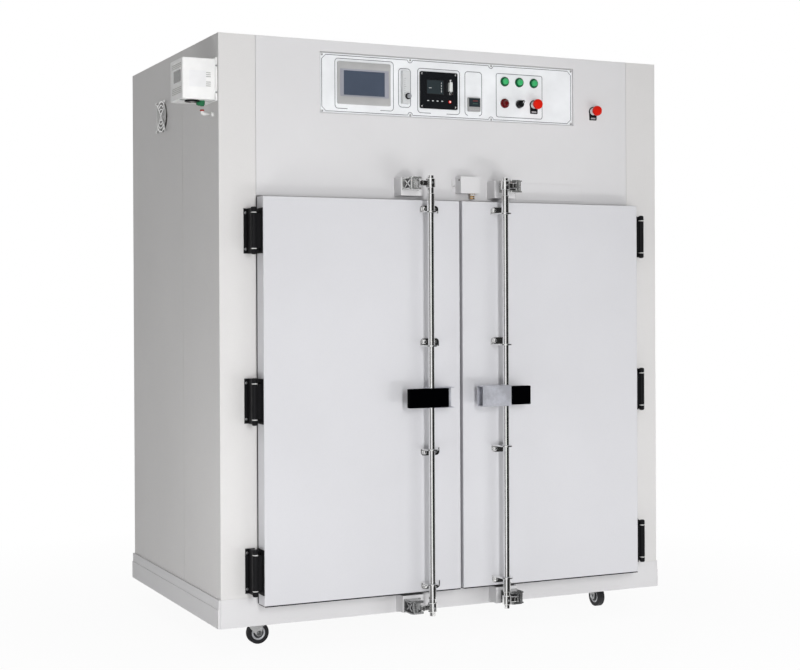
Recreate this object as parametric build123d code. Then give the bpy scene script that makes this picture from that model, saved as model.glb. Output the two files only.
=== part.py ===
from build123d import *
import os

# Two-door cleanroom oven on casters. Every size is in millimetres.
# While modelling, X runs from the cabinet's left side to its right, Y from its
# front face to its back, and Z up from the underside of the plinth.

# Cabinet
W = 1750.0              # cabinet width
D = 1080.0              # cabinet depth
H = 2000.0              # plinth underside to the roof
GAP = 0.3               # seat between two pieces
SEAM = 1.0              # painted joint between the stile and the fascia
STILE = 132.0           # painted stile beside the doors
SEAM_Y = 411.0          # joint between the front and the rear side sheets
SEAM_W = 2.0            # width of that joint
CORNER_R = 2.5          # rounding of the cabinet's front corners
LAYER = 58.0            # depth of the front layer that carries the doors
ROOF_STEP = 2.0         # the roof lies this far below its rim

# Plinth
PLINTH_H = 97.0         # top of the upper lip
STEP_H = 64.0           # top of the lower lip
LIP1 = 6.5              # how far the upper lip stands out
LIP2 = 8.5              # how far the lower lip stands out
LIP_BACK = 4.0          # the lips start this far behind the front face
POCKET_H = 24.0         # hollow under the plinth for the casters
POCKET_WALL = 30.0      # wall round that hollow

# Doors
HEAD_H = 548.0          # door top to the roof
SILL_H = 77.0           # plinth underside to the door's lower edge
DOOR_T = 64.0           # thickness of a door leaf
DOOR_STAND = 6.0        # space between a door leaf and the cabinet
DOOR_IN = 131.0         # hinge edge of a door, from the cabinet's side
MEET = 5.5              # half of the gap between the doors
DOOR_R = 3.0            # rounding of the door's front edges
HEAD_GAP = 6.0          # the fascia starts this far above the doors
DOOR_FRONT = -DOOR_STAND - DOOR_T
DOOR_Z0 = SILL_H
DOOR_Z1 = H - HEAD_H

# Chamber
CH_WALL = 190.0         # chamber side wall, from the cabinet's side
FLOOR_T = 53.0          # chamber floor above the plinth
HEAD_LAP = 62.0         # the doors reach this far above the chamber
BACK_T = 80.0           # depth of the back panel
BACK_WALL = 60.0        # chamber back wall in front of it
DECK_LAP = 2.0          # the upper compartment starts this far below the door top
CH_Z0 = PLINTH_H + FLOOR_T
CH_Z1 = DOOR_Z1 - HEAD_LAP
CH_Y1 = D - BACK_T - BACK_WALL
DECK_Z = DOOR_Z1 - DECK_LAP

# Door back: gasket and inner pan
GASKET_W = 18.0
GASKET_IN = 19.0        # gasket ring, measured in from the door's edge
GASKET_UP = 43.0        # the same at the lower edge
PAN_CLEAR = 10.0        # pan to the chamber's edge
PAN_MEET = 25.0         # pan to the middle of the doors
PAN_DEEP = 14.0         # how far the pan stands behind the leaf
PAN_R = 12.0            # rounded corners of the pan

# Hinges
HINGE_IN = 28.0         # axis beside the door's edge
HINGE_Y = -56.0
HINGE_R = 10.0          # knuckle radius
HINGE_PIN = 5.0
HINGE_END = 14.0        # height of the fixed knuckles at both ends
HINGE_ARM = 4.0         # half thickness of the bracket behind the knuckles
PIN_C = 0.15            # radial clearance on the pin
HINGE_L = 152.0         # hinge height
HINGE_TOP = 116.0       # door top to the middle of the top hinge
HINGE_LOW = 112.0       # door's lower edge to the middle of the lowest hinge
LEAF_T = 4.0
LEAF_W = 17.0           # fixed leaf in front of the bracket
LEAF_DEEP = 62.0        # moving leaf along the door's edge
LEAF_C = 2.0            # moving leaf to the fixed knuckles
KNUCKLE_C = 3.0         # end clearance between knuckles
HINGE_X = DOOR_IN - HINGE_IN
HINGE_MID = (DOOR_Z1 - HINGE_TOP + DOOR_Z0 + HINGE_LOW) / 2
HINGE_Z = (DOOR_Z1 - HINGE_TOP, HINGE_MID, DOOR_Z0 + HINGE_LOW)

# Handles and lock rods
HANDLE_DROP = 3.5       # handle below the door's middle
HANDLE_H = 67.0
HANDLE_BACK = 22.0      # half depth of the chrome channel
CHANNEL_T = 3.0
CHANNEL_SHORT = 20.0    # left channel past the rod, hinge side
CHANNEL_NEAR = 10.0     # right channel past the rod, hinge side
CHANNEL_L = 85.0        # left channel past the rod, towards the middle
CHANNEL_R = 104.0       # right channel past the rod, towards the middle
CHANNEL_LIP = 8.0       # the left flanges start this far before the rod's axis
GRIP_OUT = 94.0         # left grip past the rod, hinge side
GRIP_IN = 58.0          # left grip past the rod, towards the middle
GRIP_RIGHT = 90.0       # right grip past the rod
GRIP_TAIL = 2.0         # the grip reaches this far behind the rod's axis
GRIP_R = 3.0
ROD_OFF = 147.5         # rod axis from the cabinet's middle
ROD_STAND = 58.0        # rod axis in front of the door's face
ROD_R = 11.0
SLEEVE_R = 13.3
SLEEVE_C = 0.5          # sleeve to the guide plate
SLEEVE_UP = 61.0        # length of the upper sleeve
SLEEVE_DOWN = 48.0      # length of the lower sleeve
COLLAR_R = 16.0
COLLAR_H = 32.0
ROD_LOW = 2.0           # lower end of the rod
ROD_HIGH = 83.0         # upper end of the rod above the doors
ROD_END = 2.0           # chamfer of the rod's ends
ROD_X = W / 2 - ROD_OFF
ROD_Y = DOOR_FRONT - ROD_STAND
HANDLE_Z = (DOOR_Z0 + DOOR_Z1) / 2 - HANDLE_DROP

# Rod guides
GUIDE_TOP = 45.0        # door top to the first guide
GUIDE_LOW = 35.0        # door's lower edge to the last guide
GUIDE_HALF = 180.5      # middle guides above and below the handle
GUIDE_T = 4.0
GUIDE_R = 23.0          # rounded nose of the shelf round the rod
GUIDE_HALF_W = 36.0     # half width of the flange on the door
GUIDE_SHIFT_L = 20.0    # flange to the right of the rod, left door
GUIDE_SHIFT_R = 6.0     # flange to the right of the rod, right door
GUIDE_UP = 27.0         # height of the flange on the door
GUIDE_EAR = 12.0        # rounded ears of the flange
GUIDE_C = 0.4           # radial clearance of the rod in its guides
GUIDE_Z = (DOOR_Z1 - GUIDE_TOP, HANDLE_Z + GUIDE_HALF, HANDLE_Z - GUIDE_HALF, DOOR_Z0 + GUIDE_LOW)

# Keepers
KEEP_W = 85.0           # width of a keeper's spacer block
KEEP_D = 58.0           # its depth
KEEP_H = 63.0           # height of the upper block
KEEP_LOW_H = 58.0       # height of the lower block
KEEP_UP = 15.0          # upper block above the doors
KEEP_DOWN = 11.0        # lower block below the doors
KEEP_IN = 4.0           # the block's inner edge lies this far past the rod axis
CAM_UP = 55.0           # upper cam above the doors
CAM_DOWN = 44.0         # lower cam below the doors
CAM_T = 20.0
CAM_W = 12.0
CAM_L = 45.0
JAW_GAP = 6.0           # clearance above and below the cam
JAW_T = 6.0
JAW_D = 57.0            # how far the jaws stand out from their plate
JAW_BASE = 5.0          # thickness of the keeper's plate
JAW_EDGE = 4.0          # the plate starts this far in from the block's edge
JAW_STEP = 6.0          # the jaws start this far in from the plate's edge
JAW_PLATE = 14.0        # plate to the rod's axis
JAW_CLEAR = 26.0        # jaws to the rod's axis
JAW_R = 10.0
CAM_Z = (DOOR_Z1 + CAM_UP, DOOR_Z0 - CAM_DOWN)

# Control panel
PLATE_W = 1020.0        # recess in the fascia
PLATE_H = 213.0
PLATE_DOWN = 39.0       # roof to the recess
PLATE_OFF = 1.0         # recess to the right of the cabinet's middle
PLATE_DEEP = 8.0        # depth of the recess
PLATE_T = 3.0
PLATE_GAP = 4.0         # gap round the plate
PLATE_X0 = W / 2 - PLATE_W / 2 + PLATE_OFF
PLATE_X1 = PLATE_X0 + PLATE_W
PLATE_Z1 = H - PLATE_DOWN
PLATE_Z0 = PLATE_Z1 - PLATE_H
FACE = PLATE_DEEP - PLATE_T   # the plate's front face
SCREW_R = 3.5
SCREW_T = 1.5
SCREW_IN = 9.0          # screws to the recess edge
SCREW_MID = 163.0       # the middle screws to the plate's middle

# Pieces on the plate: lower edge measured from the recess corner
HMI_Z = 36.0
HMI_W = 202.0
HMI_H = 147.0
HMI_T = 6.0
HMI_R = 4.0
HMI_RIM = 9.0           # bezel beside the screen frame
HMI_BAR = 25.5          # bezel below and above the screen frame
HMI_SINK = 2.0          # the screen frame lies this far back
GLASS_T = 1.0
FLOW_Z = 47.0
FLOW_W = 30.0
FLOW_H = 116.0
FLOW_T = 18.0
FLOW_R = 3.0
VALVE_R = 7.5
VALVE_X = 20.0
VALVE_Z = 26.0
VALVE_T = 16.0
GAS_Z = 35.5
GAS_W = 150.0
GAS_H = 132.0
GAS_T = 6.0
GAS_R = 6.0
GAS_VIEW_X = 25.0
GAS_VIEW_Z = 51.5
GAS_VIEW_W = 71.0
GAS_VIEW_H = 54.0
GAS_VIEW_T = 3.0
GAS_TUBE_X = 111.0
GAS_TUBE_Z = 62.0
GAS_TUBE_W = 14.0
GAS_TUBE_H = 36.0
GAS_TUBE_T = 11.0
GAS_KNOB_X = 122.0
GAS_KNOB_Z = 57.5
GAS_KNOB_R = 5.5
GAS_KNOB_T = 15.0
TEMP_Z = 34.0
TEMP_W = 50.0
TEMP_T = 9.0
TEMP_R = 2.0
TEMP_RIM = 5.0
TEMP_LOW = 21.0
TEMP_SINK = 2.0
LAMP_STEP = 61.0        # lamp to lamp
LAMP_Z = 150.0
KNOB_Z = 70.5           # lower row of the control group
RING_R = 17.5
RING_T = 6.0
LENS_R = 11.5
LENS_T = 17.0
LENS_EDGE = 2.0

# The pieces share the free width of the plate; each gap is left of its piece
HMI_SHARE = 0.1555
FLOW_SHARE = 0.0951
GAS_SHARE = 0.1021
TEMP_SHARE = 0.0974
LAMP_SHARE = 0.2007
PLATE_FREE = PLATE_W - HMI_W - FLOW_W - GAS_W - TEMP_W - 2 * LAMP_STEP - 2 * RING_R
HMI_X = HMI_SHARE * PLATE_FREE
FLOW_X = HMI_X + HMI_W + FLOW_SHARE * PLATE_FREE
GAS_X = FLOW_X + FLOW_W + GAS_SHARE * PLATE_FREE
TEMP_X = GAS_X + GAS_W + TEMP_SHARE * PLATE_FREE
LAMP_X = TEMP_X + TEMP_W + LAMP_SHARE * PLATE_FREE + RING_R

# Selector and stop buttons
SEL_R = 13.0
SEL_T = 14.0
SEL_BAR_W = 8.0
SEL_BAR_L = 28.0
SEL_BAR_T = 12.0
SEL_TURN = 35.0
STOP_UP = 58.0          # second stop button above the recess's lower edge
STOP_SHARE = 0.366      # its place between the recess and the stile
STOP_R = 18.5
STOP_H = 40.0           # head's face in front of its plate
STOP_CAP = 16.0
STOP_CAP_R = 3.0
STOP_NECK = 9.0
STOP_NECK_END = 8.0
STOP_C = 0.6
COLLAR_OUT = 16.0
COLLAR_T = 14.0
LABEL_W = 27.0
LABEL_L = 33.0
LABEL_R = 17.5
LABEL_T = 2.0

# Limit switch box and cover plate above the doors
SW_X = 14.0             # from the cabinet's middle
SW_W = 77.0
SW_UP = 30.0            # above the doors
SW_H = 60.0
SW_D = 44.0
SW_R = 2.0
SW_FLANGE_W = 14.0
SW_FLANGE_T = 2.0
SW_FLANGE_IN = 8.0
GLAND_X = 57.0
GLAND_Y = 22.0
GLAND_R = 8.5
GLAND_L = 20.0
COVER_X = 261.0         # from the cabinet's middle
COVER_W = 282.0
COVER_UP = 14.0
COVER_H = 62.0
COVER_T = 3.0

# Instrument box on the left side
INSTR_OUT = 118.0
INSTR_Y = 20.0
INSTR_W = 140.0
INSTR_DOWN = 86.0       # roof to the box
INSTR_H = 138.0
INSTR_R = 3.0
INSTR_BACK = 6.0        # mounting plate
INSTR_LAP_Y = 8.0       # mounting plate past the box
INSTR_LAP_Z = 4.0
INSTR_Z1 = H - INSTR_DOWN
INSTR_Z0 = INSTR_Z1 - INSTR_H
BLOWER_R = 24.0
BLOWER_X = 72.0
BLOWER_Y = 42.0
BLOWER_T = 5.0
FIT_X = 38.0
FIT_Y = 40.0
FIT_R = 9.0
FIT_L = 18.0
ELBOW_R = 5.0
ELBOW_L = 26.0

# Fan guard on the left side
FAN_BACK = 244.0        # fan behind the side seam
FAN_DOWN = 210.0        # fan below the roof
FAN_R = 57.0            # hole in the side sheet
FAN_DEEP = 18.0
FAN_SCREW = 52.5
FAN_RINGS = (14.0, 28.0, 42.0, 56.0)
WIRE_R = 1.6
GUARD_OUT = 7.0
EAR_R = 4.5
EAR_T = 10.0
FAN_Y = SEAM_Y + FAN_BACK
FAN_Z = H - FAN_DOWN

# Casters
CLEAR_FLOOR = 80.0      # plinth underside to the floor
WHEEL_R = 38.0
WHEEL_W = 26.0
TREAD_R = 3.0
HUB_R = 25.0
HUB_SINK = 4.0
AXLE_R = 5.0
AXLE_C = 0.2
AXLE_END = 6.0
CASTER_X = 193.0        # swivel axis from each side
CASTER_Y = 90.0         # swivel axis from the front and from the back
TRAIL = 32.0
CASTER_TURN = (180.0, 90.0, 0.0, 90.0)
TOP_L = 90.0
TOP_W = 64.0
TOP_T = 4.0
RACE_R = 22.0
RACE_T = 5.0
RACE_C = 0.5
CROWN_T = 4.0
FORK_T = 3.0
FORK_GAP = 3.0
FORK_FRONT = 16.0
FORK_BACK = 6.0
FORK_FOOT = 11.0
FORK_DROP = 9.0

# Whole extents, from the same values, give the shared frame's origin
CX = (W + LIP2 - INSTR_OUT) / 2
CY = (D + LIP2 + ROD_Y - HANDLE_BACK) / 2


def box(x0, x1, y0, y1, z0, z1):
    b = Box(x1 - x0, y1 - y0, z1 - z0)
    return Pos((x0 + x1) / 2, (y0 + y1) / 2, (z0 + z1) / 2) * b


def block(x, y, z, dx, dy, dz):
    return box(x, x + dx, y, y + dy, z, z + dz)


def cyl_z(x, y, z0, z1, r):
    return Pos(x, y, (z0 + z1) / 2) * Cylinder(r, z1 - z0)


def cyl_y(x, z, y0, y1, r):
    return Pos(x, (y0 + y1) / 2, z) * Rot(90, 0, 0) * Cylinder(r, y1 - y0)


def cyl_x(y, z, x0, x1, r):
    return Pos((x0 + x1) / 2, y, z) * Rot(0, 90, 0) * Cylinder(r, x1 - x0)


def mirror_x(shape):
    if isinstance(shape, (list, tuple)):
        return [mirror_x(s) for s in shape]
    return mirror(shape, about=Plane.YZ.offset(W / 2))


def union(shapes):
    out = shapes[0]
    for s in shapes[1:]:
        out = out + s
    return out


def save(name, shape):
    if isinstance(shape, (list, tuple)):
        shape = Compound(children=list(shape))
    shape = Pos(-CX, -CY, CLEAR_FLOOR) * shape
    export_step(shape, os.path.join("parts", name + ".step"))
    print(name, [round(v) for v in shape.bounding_box().size])


# Cabinet shell

def base_frame():
    body = box(0, W, 0, D, 0, PLINTH_H)
    body += box(-LIP1, W + LIP1, LIP_BACK, D + LIP1, STEP_H, PLINTH_H)
    body += box(-LIP2, W + LIP2, LIP_BACK, D + LIP2, 0, STEP_H)
    wall = POCKET_WALL
    return body - box(wall, W - wall, wall, D - wall, -1, POCKET_H)


def side_panels():
    z0 = PLINTH_H + GAP
    x1 = STILE - SEAM
    front = box(0, x1, 0, SEAM_Y - SEAM_W / 2, z0, H)
    rear = box(0, x1, SEAM_Y + SEAM_W / 2, D, z0, H)
    corner = front.edges().filter_by(Axis.Z).sort_by(Axis.Y)[:2].sort_by(Axis.X)[:1]
    return fillet(corner, CORNER_R), rear


def left_side_panels():
    front, rear = side_panels()
    return [front, rear - cyl_x(FAN_Y, FAN_Z, -1, FAN_DEEP, FAN_R)]


def back_panel():
    return box(STILE, W - STILE, D - BACK_T, D, PLINTH_H + GAP, H)


def front_fascia():
    body = box(STILE, W - STILE, 0, LAYER, DOOR_Z1 + HEAD_GAP, H)
    body -= box(PLATE_X0, PLATE_X1, -1, PLATE_DEEP, PLATE_Z0, PLATE_Z1)
    return body + block(W / 2 + COVER_X, -COVER_T, DOOR_Z1 + COVER_UP, COVER_W, COVER_T, COVER_H)


def top_housing():
    return box(STILE, W - STILE, LAYER, D - BACK_T, DECK_Z, H - ROOF_STEP)


def door_frame():
    top = DOOR_Z1 + HEAD_GAP - GAP
    body = box(STILE, W - STILE, 0, LAYER, PLINTH_H + GAP, top)
    return body - box(CH_WALL, W - CH_WALL, -1, LAYER + 1, CH_Z0, CH_Z1)


def chamber_liner():
    y0 = LAYER + GAP
    y1 = D - BACK_T - GAP
    x0 = CH_WALL + GAP
    x1 = W - CH_WALL - GAP
    z0 = PLINTH_H + GAP
    z1 = DECK_Z - GAP
    left = box(STILE, CH_WALL, y0, y1, z0, z1)
    floor = box(x0, x1, y0, y1, z0, CH_Z0)
    roof = box(x0, x1, y0, y1, CH_Z1, z1)
    back = box(x0, x1, CH_Y1, y1, CH_Z0 + GAP, CH_Z1 - GAP)
    return [left, mirror_x(left), floor, roof, back]


# Control panel

def on_plate(x, z, dx, dz, y0, y1):
    return box(PLATE_X0 + x, PLATE_X0 + x + dx, FACE - y1, FACE - y0, PLATE_Z0 + z, PLATE_Z0 + z + dz)


def control_plate():
    g = PLATE_GAP
    plate = box(PLATE_X0 + g, PLATE_X1 - g, FACE, PLATE_DEEP, PLATE_Z0 + g, PLATE_Z1 - g)
    mid = (PLATE_X0 + PLATE_X1) / 2
    for x in (PLATE_X0 + SCREW_IN, mid - SCREW_MID, mid + SCREW_MID, PLATE_X1 - SCREW_IN):
        for z in (PLATE_Z0 + SCREW_IN, PLATE_Z1 - SCREW_IN):
            plate += cyl_y(x, z, FACE - SCREW_T, FACE + SCREW_T, SCREW_R)
    return plate


def hmi_window(grow, y0, y1):
    x = HMI_X + HMI_RIM - grow
    z = HMI_Z + HMI_BAR - grow
    dx = HMI_W - 2 * HMI_RIM + 2 * grow
    dz = HMI_H - 2 * HMI_BAR + 2 * grow
    return on_plate(x, z, dx, dz, y0, y1)


def hmi():
    # The bezel and the screen in it
    body = on_plate(HMI_X, HMI_Z, HMI_W, HMI_H, 0, HMI_T)
    body = fillet(body.edges().filter_by(Axis.Y), HMI_R)
    glass = hmi_window(-GAP, HMI_T - HMI_SINK, HMI_T - HMI_SINK + GLASS_T)
    return [body - hmi_window(0, HMI_T - HMI_SINK, HMI_T + 1), glass]


def flowmeter():
    body = on_plate(FLOW_X, FLOW_Z, FLOW_W, FLOW_H, 0, FLOW_T)
    body = fillet(body.edges().filter_by(Axis.Y), FLOW_R)
    x = PLATE_X0 + FLOW_X + VALVE_X
    z = PLATE_Z0 + FLOW_Z + VALVE_Z
    return body + cyl_y(x, z, FACE - FLOW_T - VALVE_T, FACE - FLOW_T + 1, VALVE_R)


def gas_analyser():
    body = on_plate(GAS_X, GAS_Z, GAS_W, GAS_H, 0, GAS_T)
    body = fillet(body.edges().filter_by(Axis.Y), GAS_R)
    x = GAS_X + GAS_VIEW_X
    z = GAS_Z + GAS_VIEW_Z
    body -= on_plate(x, z, GAS_VIEW_W, GAS_VIEW_H, GAS_T - GAS_VIEW_T, GAS_T + 1)
    x = PLATE_X0 + GAS_X + GAS_KNOB_X
    z = PLATE_Z0 + GAS_Z + GAS_KNOB_Z
    body += cyl_y(x, z, FACE - GAS_T - GAS_KNOB_T, FACE - GAS_T + 1, GAS_KNOB_R)
    x = GAS_X + GAS_TUBE_X
    z = GAS_Z + GAS_TUBE_Z
    return body + on_plate(x, z, GAS_TUBE_W, GAS_TUBE_H, GAS_T - 1, GAS_T + GAS_TUBE_T)


def temp_controller():
    body = on_plate(TEMP_X, TEMP_Z, TEMP_W, TEMP_W, 0, TEMP_T)
    body = fillet(body.edges().filter_by(Axis.Y), TEMP_R)
    x = TEMP_X + TEMP_RIM
    z = TEMP_Z + TEMP_LOW
    dx = TEMP_W - 2 * TEMP_RIM
    dz = TEMP_W - TEMP_LOW - TEMP_RIM
    return body - on_plate(x, z, dx, dz, TEMP_T - TEMP_SINK, TEMP_T + 1)


def pilot_lamps():
    x0 = PLATE_X0 + LAMP_X
    upper = PLATE_Z0 + LAMP_Z
    places = [(x0 + i * LAMP_STEP, upper) for i in range(3)]
    places.append((x0, PLATE_Z0 + KNOB_Z))
    out = []
    for x, z in places:
        lens = cyl_y(x, z, FACE - LENS_T, FACE - 1, LENS_R)
        rim = lens.edges().filter_by(GeomType.CIRCLE).sort_by(Axis.Y)[0]
        lens = fillet(rim, LENS_EDGE)
        out.append(cyl_y(x, z, FACE - RING_T, FACE, RING_R) + lens)
    return out


SELECTOR = (PLATE_X0 + LAMP_X + LAMP_STEP, PLATE_Z0 + KNOB_Z)
STOP1 = (PLATE_X0 + LAMP_X + 2 * LAMP_STEP, PLATE_Z0 + KNOB_Z, FACE)
STOP2 = (PLATE_X1 + STOP_SHARE * (W - STILE - PLATE_X1), PLATE_Z0 + STOP_UP, 0.0)


def selector_knob():
    x, z = SELECTOR
    body = cyl_y(x, z, FACE - SEL_T, FACE - GAP, SEL_R)
    bar = block(-SEL_BAR_W / 2, -SEL_T - SEL_BAR_T, -SEL_BAR_L / 2, SEL_BAR_W, SEL_BAR_T + 1, SEL_BAR_L)
    bar = fillet(bar.edges().filter_by(Axis.Y), SEL_BAR_W / 4)
    return body + Pos(x, FACE, z) * Rot(0, SEL_TURN, 0) * bar


def estop_bases():
    out = []
    for x, z, y in (STOP1, STOP2):
        label = box(x - LABEL_W / 2, x + LABEL_W / 2, y - LABEL_T, y, z - LABEL_L, z)
        label += cyl_y(x, z, y - LABEL_T, y, LABEL_R)
        collar = cyl_y(x, z, y - COLLAR_T, y - LABEL_T / 2, COLLAR_OUT)
        collar -= cyl_y(x, z, y - COLLAR_T - 1, y - LABEL_T, STOP_NECK + STOP_C)
        out.append(label + collar)
    return out


def estop_head(place):
    x, z, y = place
    cap = y - STOP_H + STOP_CAP
    head = cyl_y(x, z, y - STOP_H, cap, STOP_R)
    head = fillet(head.edges().filter_by(GeomType.CIRCLE), STOP_CAP_R)
    return head + cyl_y(x, z, cap - 1, y - STOP_NECK_END, STOP_NECK)


# Pieces on the front of the cabinet

def limit_switch_box():
    x0 = W / 2 + SW_X
    z0 = DOOR_Z1 + SW_UP
    body = block(x0, -SW_D, z0, SW_W, SW_D, SW_H)
    body = fillet(body.edges().filter_by(Axis.Y), SW_R)
    body += cyl_z(x0 + GLAND_X, -GLAND_Y, z0 - GLAND_L, z0 + 1, GLAND_R)
    flange = box(x0 - SW_FLANGE_W, x0 + 1, -SW_FLANGE_T, 0, z0 + SW_FLANGE_IN, z0 + SW_H - SW_FLANGE_IN)
    return body + flange


def keeper_blocks():
    x1 = ROD_X + KEEP_IN
    top = DOOR_Z1 + KEEP_UP
    low = DOOR_Z0 - KEEP_DOWN
    upper = box(x1 - KEEP_W, x1, -KEEP_D, 0, top, top + KEEP_H)
    lower = box(x1 - KEEP_W, x1, -KEEP_D, 0, low - KEEP_LOW_H, low)
    return [upper, lower, mirror_x(upper), mirror_x(lower)]


def keepers():
    # Plate and jaws stay single slabs, so that the slot between them is open
    x0 = ROD_X + KEEP_IN - KEEP_W + JAW_EDGE
    half = CAM_T / 2 + JAW_GAP
    front = -KEEP_D - JAW_BASE
    out = []
    for z in CAM_Z:
        out.append(box(x0, ROD_X - JAW_PLATE, front, -KEEP_D, z - half - JAW_T, z + half + JAW_T))
        for low in (z - half - JAW_T, z + half):
            jaw = box(x0 + JAW_STEP, ROD_X - JAW_CLEAR, front - JAW_D, front, low, low + JAW_T)
            tips = jaw.edges().filter_by(Axis.Z).sort_by(Axis.Y)[:2]
            out.append(fillet(tips, JAW_R))
    return out + mirror_x(out)


def instrument_box():
    z0 = INSTR_Z0
    y1 = INSTR_Y + INSTR_W
    body = box(-INSTR_OUT, -INSTR_BACK + 1, INSTR_Y, y1, z0, INSTR_Z1)
    body = fillet(body.edges().filter_by(Axis.Z), INSTR_R)
    ly = INSTR_LAP_Y
    lz = INSTR_LAP_Z
    body += box(-INSTR_BACK, 0, INSTR_Y - ly, y1 + ly, z0 - lz, INSTR_Z1 + lz)
    body += cyl_z(-BLOWER_X, INSTR_Y + BLOWER_Y, z0 - BLOWER_T, z0 + 1, BLOWER_R)
    x = -FIT_X
    y = INSTR_Y + FIT_Y
    body += cyl_z(x, y, z0 - FIT_L, z0 + 1, FIT_R)
    body += cyl_z(x, y, z0 - FIT_L - ELBOW_L, z0 - FIT_L + 1, ELBOW_R)
    return body + cyl_x(y, z0 - FIT_L - ELBOW_L, x - 2 * ELBOW_R, 0, ELBOW_R)


def fan_guard():
    centre = Pos(-GUARD_OUT, FAN_Y, FAN_Z)
    out = [centre * Rot(0, 90, 0) * Torus(r, WIRE_R) for r in FAN_RINGS]
    for a in (45, 135):
        out.append(centre * Rot(a, 0, 0) * Cylinder(WIRE_R, FAN_SCREW * 2 * 2 ** 0.5))
    for sy in (-FAN_SCREW, FAN_SCREW):
        for sz in (-FAN_SCREW, FAN_SCREW):
            out.append(cyl_x(FAN_Y + sy, FAN_Z + sz, -EAR_T, 0, EAR_R))
    return union(out)


# Hinges

def hinge_zones(z):
    z0 = z - HINGE_L / 2
    z1 = z + HINGE_L / 2
    return z0, z0 + HINGE_END, z1 - HINGE_END, z1


def fixed_leaf(z):
    a, b, c, d = hinge_zones(z)
    near = HINGE_Y + HINGE_R + LEAF_C
    leaf = box(HINGE_X - LEAF_W, HINGE_X + LEAF_W, -LEAF_T, 0, a, d)
    leaf += box(HINGE_X - HINGE_ARM, HINGE_X + HINGE_ARM, near, 0, a, d)
    for lo, hi in ((a, b), (c, d)):
        leaf += cyl_z(HINGE_X, HINGE_Y, lo, hi, HINGE_R)
        leaf += box(HINGE_X - HINGE_ARM, HINGE_X + HINGE_ARM, HINGE_Y, near + 1, lo, hi)
    return leaf + cyl_z(HINGE_X, HINGE_Y, a, d, HINGE_PIN)


def hinge_fixed_leaves():
    out = [fixed_leaf(z) for z in HINGE_Z]
    return out + mirror_x(out)


def moving_leaf(z):
    a, b, c, d = hinge_zones(z)
    b += KNUCKLE_C
    c -= KNUCKLE_C
    far = -DOOR_STAND - LEAF_DEEP
    leaf = box(DOOR_IN - LEAF_T, DOOR_IN, far, -DOOR_STAND - LEAF_C, a, d)
    leaf += box(HINGE_X, DOOR_IN, HINGE_Y - LEAF_T / 2, HINGE_Y + LEAF_T / 2, b, c)
    leaf += cyl_z(HINGE_X, HINGE_Y, b, c, HINGE_R)
    return leaf - cyl_z(HINGE_X, HINGE_Y, b - 1, c + 1, HINGE_PIN + PIN_C)


def left_hinge_leaves():
    return [moving_leaf(z) for z in HINGE_Z]


# Doors

def left_door():
    body = box(DOOR_IN, W / 2 - MEET, DOOR_FRONT, -DOOR_STAND, DOOR_Z0, DOOR_Z1)
    body = fillet(body.faces().sort_by(Axis.Y)[0].edges(), DOOR_R)
    x0 = CH_WALL + PAN_CLEAR
    x1 = W / 2 - PAN_MEET
    pan = box(x0, x1, -DOOR_STAND - 1, PAN_DEEP - DOOR_STAND, CH_Z0 + PAN_CLEAR, CH_Z1 - PAN_CLEAR)
    return body + fillet(pan.edges().filter_by(Axis.Y), PAN_R)


def left_gasket():
    g = GASKET_W
    x0 = DOOR_IN + GASKET_IN
    x1 = W / 2 - GAP
    z0 = DOOR_Z0 + GASKET_UP
    z1 = DOOR_Z1 - GASKET_IN
    ring = box(x0, x1, -DOOR_STAND, -GAP, z0, z1)
    ring = fillet(ring.edges().filter_by(Axis.Y), g / 2)
    hole = box(x0 + g, x1 - g, -DOOR_STAND - 1, 1, z0 + g, z1 - g)
    return ring - hole


def rod_guide(rod, shift, z, up):
    # A shelf round the rod and a flange with two ears, above or below the shelf
    t = GUIDE_T
    x0 = rod + shift - GUIDE_HALF_W
    x1 = rod + shift + GUIDE_HALF_W
    flange = box(x0, x1, DOOR_FRONT - t, DOOR_FRONT, z - t / 2, z - t / 2 + GUIDE_UP)
    flange = fillet(flange.edges().filter_by(Axis.Y).sort_by(Axis.Z)[2:], GUIDE_EAR)
    if not up:
        flange = mirror(flange, about=Plane.XY.offset(z))
    corners = ((x0, DOOR_FRONT), (rod - GUIDE_R, ROD_Y), (rod + GUIDE_R, ROD_Y), (x1, DOOR_FRONT))
    shelf = Pos(0, 0, z - t / 2) * extrude(Polygon(*corners, align=None), t, dir=(0, 0, 1))
    shelf += cyl_z(rod, ROD_Y, z - t / 2, z + t / 2, GUIDE_R)
    return flange + shelf - cyl_z(rod, ROD_Y, z - t, z + t, ROD_R + GUIDE_C)


def rod_guides(rod, shift):
    return [rod_guide(rod, shift, z, i < 2) for i, z in enumerate(GUIDE_Z)]


# Lock rods and handles, drawn on the left door

def rod_bar():
    top = DOOR_Z1 + ROD_HIGH
    body = cyl_z(ROD_X, ROD_Y, ROD_LOW, top, ROD_R)
    body = chamfer(body.edges().filter_by(GeomType.CIRCLE), ROD_END)
    z = GUIDE_Z[0] + GUIDE_T / 2 + SLEEVE_C
    body += cyl_z(ROD_X, ROD_Y, z, z + SLEEVE_UP, SLEEVE_R)
    z = GUIDE_Z[-1] - GUIDE_T / 2 - SLEEVE_C
    body += cyl_z(ROD_X, ROD_Y, z - SLEEVE_DOWN, z, SLEEVE_R)
    for z in CAM_Z:
        body += cyl_z(ROD_X, ROD_Y, z - COLLAR_H / 2, z + COLLAR_H / 2, COLLAR_R)
    return body


def cams():
    out = []
    for z in CAM_Z:
        cam = block(ROD_X - CAM_L, ROD_Y - CAM_W / 2, z - CAM_T / 2, CAM_L, CAM_W, CAM_T)
        cam = fillet(cam.edges().filter_by(Axis.Z).sort_by(Axis.X)[:2], CAM_W / 3)
        out.append(cam - cyl_z(ROD_X, ROD_Y, z - COLLAR_H, z + COLLAR_H, COLLAR_R))
    return out


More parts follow.
